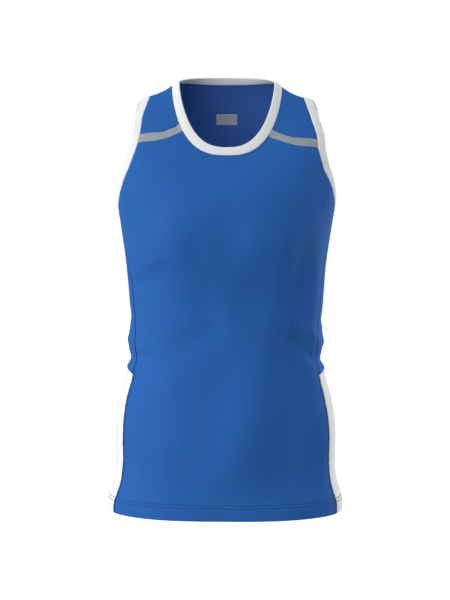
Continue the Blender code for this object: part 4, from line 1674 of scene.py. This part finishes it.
@dataclass
class RunningTop:
    """The whole top: it cuts every piece from the pattern and dresses it."""

    effects: Effects
    form: GarmentForm = field(default_factory=GarmentForm)
    band: RibBinding = field(default_factory=RibBinding)
    tape_askew: float = 0.0034
    # How dark the painted shade along the white hem's stitch rows is, groove shade and navy thread
    # in one
    white_row_shade: float = 0.7
    body_points: int = 260
    neck_points: int = 400
    look_ahead: int = 4
    lines: dict[Side, Lines] = field(init=False)
    cloths: dict[str, bpy.types.Material] = field(init=False)

    def __post_init__(self) -> None:
        """Draws both halves' seam lines and makes the materials."""
        self.lines = {
            Side.LEFT: Pattern(self.form, -self.tape_askew).lines(),
            Side.RIGHT: Pattern(self.form, self.tape_askew).lines(),
        }
        self.cloths = {finish.name: finish.make(self.effects) for finish in FINISHES}

    def add_piece(
        self, data: MeshData, kind: str, cloths: Sequence[str], side: Optional[Side] = None
    ) -> None:
        """Makes a piece in place of the solid of its name, and says what flat cut it came from.

        Args:
            data: Its mesh.
            kind: Its name in the table of cuts.
            cloths: The names of its materials, the outer face's first.
            side: The side that it is on, for one of a pair.
        """
        name = f"{kind}_{side.value}" if side else kind
        piece = data.build(f"{name}_cloth", [self.cloths[cloth] for cloth in cloths])
        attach(piece, "root")
        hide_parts(name)
        LOG.info("%s: %d faces, %.3f by %.3f m flat", name, len(data.quads), *data.flat)

    def add_sewing(self, data: MeshData, name: str, thread: str) -> None:
        """Makes some sewing, which rides on the same body as the cloth."""
        piece = data.build(name, [self.cloths[thread]])
        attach(piece, "root")
        LOG.info("%s: %d faces", name, len(data.quads))

    def half(
        self, names: Sequence[str], side: Side, full_turn: float = 0.0
    ) -> tuple[Array, list[Seam]]:
        """One side edge of the front or back, from the hem to the neck seam.

        Args:
            names: Its lines: two of the side seam, the armhole's, and the one from the neck.
            side: Which half of the top it is on.
            full_turn: Added to the turns of the right half.

        Returns:
            The whole edge, and the seams along it.
        """
        parts = [self.lines[side][name] for name in names]
        parts[-1] = parts[-1][::-1]
        if side is Side.RIGHT:
            parts = [mirrored(part, full_turn) for part in parts]
        return joined(*parts), list(zip(parts, BODY_SIDE))

    def build_front(self) -> None:
        """The front panel, between both side seams, armholes and tapes."""
        names = ("front_low", "front_high", "arm_front_low", "tape_low")
        halves = self.half(names, Side.RIGHT, -360.0), self.half(names, Side.LEFT)
        self.build_body("front_panel", *halves)

    def build_back(self) -> None:
        """The back panel, between both side seams, armholes and shoulder seams."""
        names = ("back_low", "back_high", "arm_back", "shoulder")
        self.build_body("back_panel", self.half(names, Side.LEFT), self.half(names, Side.RIGHT))

    def build_body(
        self, kind: str, start: tuple[Array, list[Seam]], end: tuple[Array, list[Seam]]
    ) -> None:
        """A front or back panel between its two side edges, with its hem."""
        left, right = start[0], end[0]
        bottom, top = (np.linspace(left[i], right[i], self.body_points) for i in (0, -1))
        seams = [(bottom, HEM), (top, NECK), *start[1], *end[1]]
        panel = ClothPanel(self.form, (bottom, top, left, right), seams, has_hem=True)
        self.add_piece(panel.mesh_data(), kind, BLUE_CLOTHS)

    def build_side(self, side: Side) -> None:
        """One side's white and blue side panels, tape and yoke."""
        for piece in SIDE_PIECES:
            lines = [self.lines[side][name] for name in piece.lines]
            if side is Side.RIGHT:
                bottom, top, near, far = (mirrored(line) for line in lines)
                lines = [bottom[::-1], top[::-1], far, near]
            panel = ClothPanel(
                self.form,
                lines,
                list(zip(lines, piece.sewing)),
                step=piece.step,
                has_hem=piece.has_hem,
                row_shade=self.white_row_shade,
            )
            self.add_piece(panel.mesh_data(), piece.kind, piece.cloths, side)

    def build_arm_binding(self, side: Side) -> None:
        """One armhole's binding, inside the hole."""
        hole = self.lines[side]["armhole"]
        line = hole[::-1] if side is Side.LEFT else mirrored(hole)
        seam, normals = self.form.cloth_point(line[:, 0], line[:, 1])
        ahead = np.roll(seam, -self.look_ahead, axis=0) - np.roll(seam, self.look_ahead, axis=0)
        reach = unit(np.cross(normals, ahead)) * self.band.width
        data = self.band.mesh_data(seam, reach, normals)
        self.add_piece(data, "armhole_binding", ("white_rib",), side)

    def build_neck_binding(self) -> None:
        """The neck binding, from the neck seam up to the form's last ring."""
        turn = np.linspace(0.0, 360.0, self.neck_points, endpoint=False)
        seam, normals = self.form.cloth_point(turn, self.form.neck_seam)
        edge, _ = self.form.cloth_point(turn, self.form.neck_edge)
        data = self.band.mesh_data(seam, edge - seam, normals)
        self.add_piece(data, "neck_binding", ("white_rib",))

    def build_label(self) -> None:
        """The plain patch inside the back, below the neck."""
        self.add_piece(NeckLabel(self.form).mesh_data(), "neck_label", ("label_print",))

    def build_stitches(self) -> None:
        """The two rows of stitches round the hem."""
        for number, station in enumerate(self.form.hem_rows, start=1):
            data = StitchRow(self.form, station).mesh_data()
            self.add_sewing(data, f"hem_stitches_{number}", "sewing_thread")

    def build_overlock(self) -> None:
        """The overlocked edges inside the side, waist, tape and shoulder seams."""
        seam = OverlockSeam(self.form)
        for side, lines in self.lines.items():
            routes = {
                "front_side": joined(lines["front_low"], lines["front_high"]),
                "back_side": joined(lines["back_low"], lines["back_high"]),
                **{name: lines[name] for name in ("split", "tape_low", "tape_high", "shoulder")},
            }
            for name, line in routes.items():
                data = seam.mesh_data(line if side is Side.LEFT else mirrored(line))
                self.add_sewing(data, f"{name}_overlock_{side.value}", "overlock_thread")

    def build(self) -> None:
        """Builds every piece in the order of sewing."""
        self.build_front()
        self.build_back()
        for side in Side:
            self.build_side(side)
            self.build_arm_binding(side)
        self.build_neck_binding()
        self.build_label()
        self.build_stitches()
        self.build_overlock()


# The studio


@dataclass(frozen=True)
class SoftLight:
    """A very wide distant light: where it comes from, its strength, and how wide it looks.

    The azimuth is 0 at the front. All three angles are in degrees.
    """

    name: str
    azimuth: float
    elevation: float
    strength: float
    width: float

    def build(self) -> None:
        """Makes the lamp."""
        light = bpy.data.lights.new(self.name, "SUN")
        light.energy = self.strength
        light.angle = float(np.radians(self.width))
        azimuth, elevation = np.radians(self.azimuth), np.radians(self.elevation)
        level = np.cos(elevation)
        toward = (np.sin(azimuth) * level, -np.cos(azimuth) * level, np.sin(elevation))
        lamp = bpy.data.objects.new(self.name, light)
        lamp.rotation_euler = Vector(toward).to_track_quat("Z", "Y").to_euler()
        bpy.context.scene.collection.objects.link(lamp)


@dataclass
class Studio:
    """A plain pale floor, soft light and the camera.

    The white room lights the top with ambient, and looks as bright as backdrop to the camera.
    """

    effects: Effects
    floor_height: float = -1.45
    floor_size: float = 40.0
    floor_points: int = 9
    ambient: float = 0.315
    backdrop: float = 1.02
    lights: tuple[SoftLight, ...] = (
        SoftLight("key_light", -57.0, 16.0, 3.12, 85.0),
        SoftLight("edge_light", 118.0, 8.0, 2.5, 45.0),
    )
    camera_place: tuple[float, float, float] = (0.0, -1.85, -0.255)
    camera_target: tuple[float, float, float] = (-0.00165, 0.0, -0.33)
    lens: float = 74.0
    sensor_width: float = 36.0
    clip_end: float = 100.0
    roll: float = 0.24

    def build(self) -> None:
        """Builds it all."""
        self.build_floor()
        self.build_room()
        for light in self.lights:
            light.build()
        self.build_camera()

    def build_floor(self) -> None:
        """A wide square floor."""
        half, count = self.floor_size / 2, self.floor_points
        share = np.linspace(-half, half, count)
        grid = np.stack(np.meshgrid(share, share), axis=-1)
        points = np.pad(grid, ((0, 0), (0, 0), (0, 1)), constant_values=self.floor_height)
        quads = quads_of(np.arange(count * count).reshape(count, count))
        data = MeshData(points.reshape(-1, 3), quads, quads_of(grid / self.floor_size))
        floor = data.build("floor", [FloorFinish().make(self.effects)])
        floor.visible_diffuse = False

    def build_room(self) -> None:
        """An even white room all round."""
        world = bpy.data.worlds.new("studio")
        world.use_nodes = True
        world.node_tree.nodes.clear()
        make = NodeMaker(world.node_tree)
        seen = make.add("LightPath").outputs["Is Camera Ray"]
        strength = make.maths("MULTIPLY_ADD", seen, self.backdrop - self.ambient, self.ambient)
        white = make.add("Background", Color=(1.0, 1.0, 1.0), Strength=strength)
        make.add("OutputWorld", Surface=white.outputs[0])
        bpy.context.scene.world = world

    def build_camera(self) -> None:
        """The camera at the picture's angle."""
        data = bpy.data.cameras.new("camera")
        data.lens = self.lens
        data.sensor_width = self.sensor_width
        data.clip_end = self.clip_end
        camera = bpy.data.objects.new("camera", data)
        place, target = Vector(self.camera_place), Vector(self.camera_target)
        turn = (target - place).to_track_quat("-Z", "Y").to_matrix().to_4x4()
        roll = Matrix.Rotation(np.radians(self.roll), 4, "Z")
        camera.matrix_world = Matrix.Translation(place) @ turn @ roll
        bpy.context.scene.collection.objects.link(camera)
        bpy.context.scene.camera = camera


def main() -> None:
    """Builds the top and the studio."""
    logging.basicConfig(level=logging.INFO, format="%(name)s: %(message)s")
    bpy.context.scene.view_settings.view_transform = "Standard"
    effects = Effects()
    RunningTop(effects).build()
    Studio(effects).build()


if __name__ == "__main__":
    main()
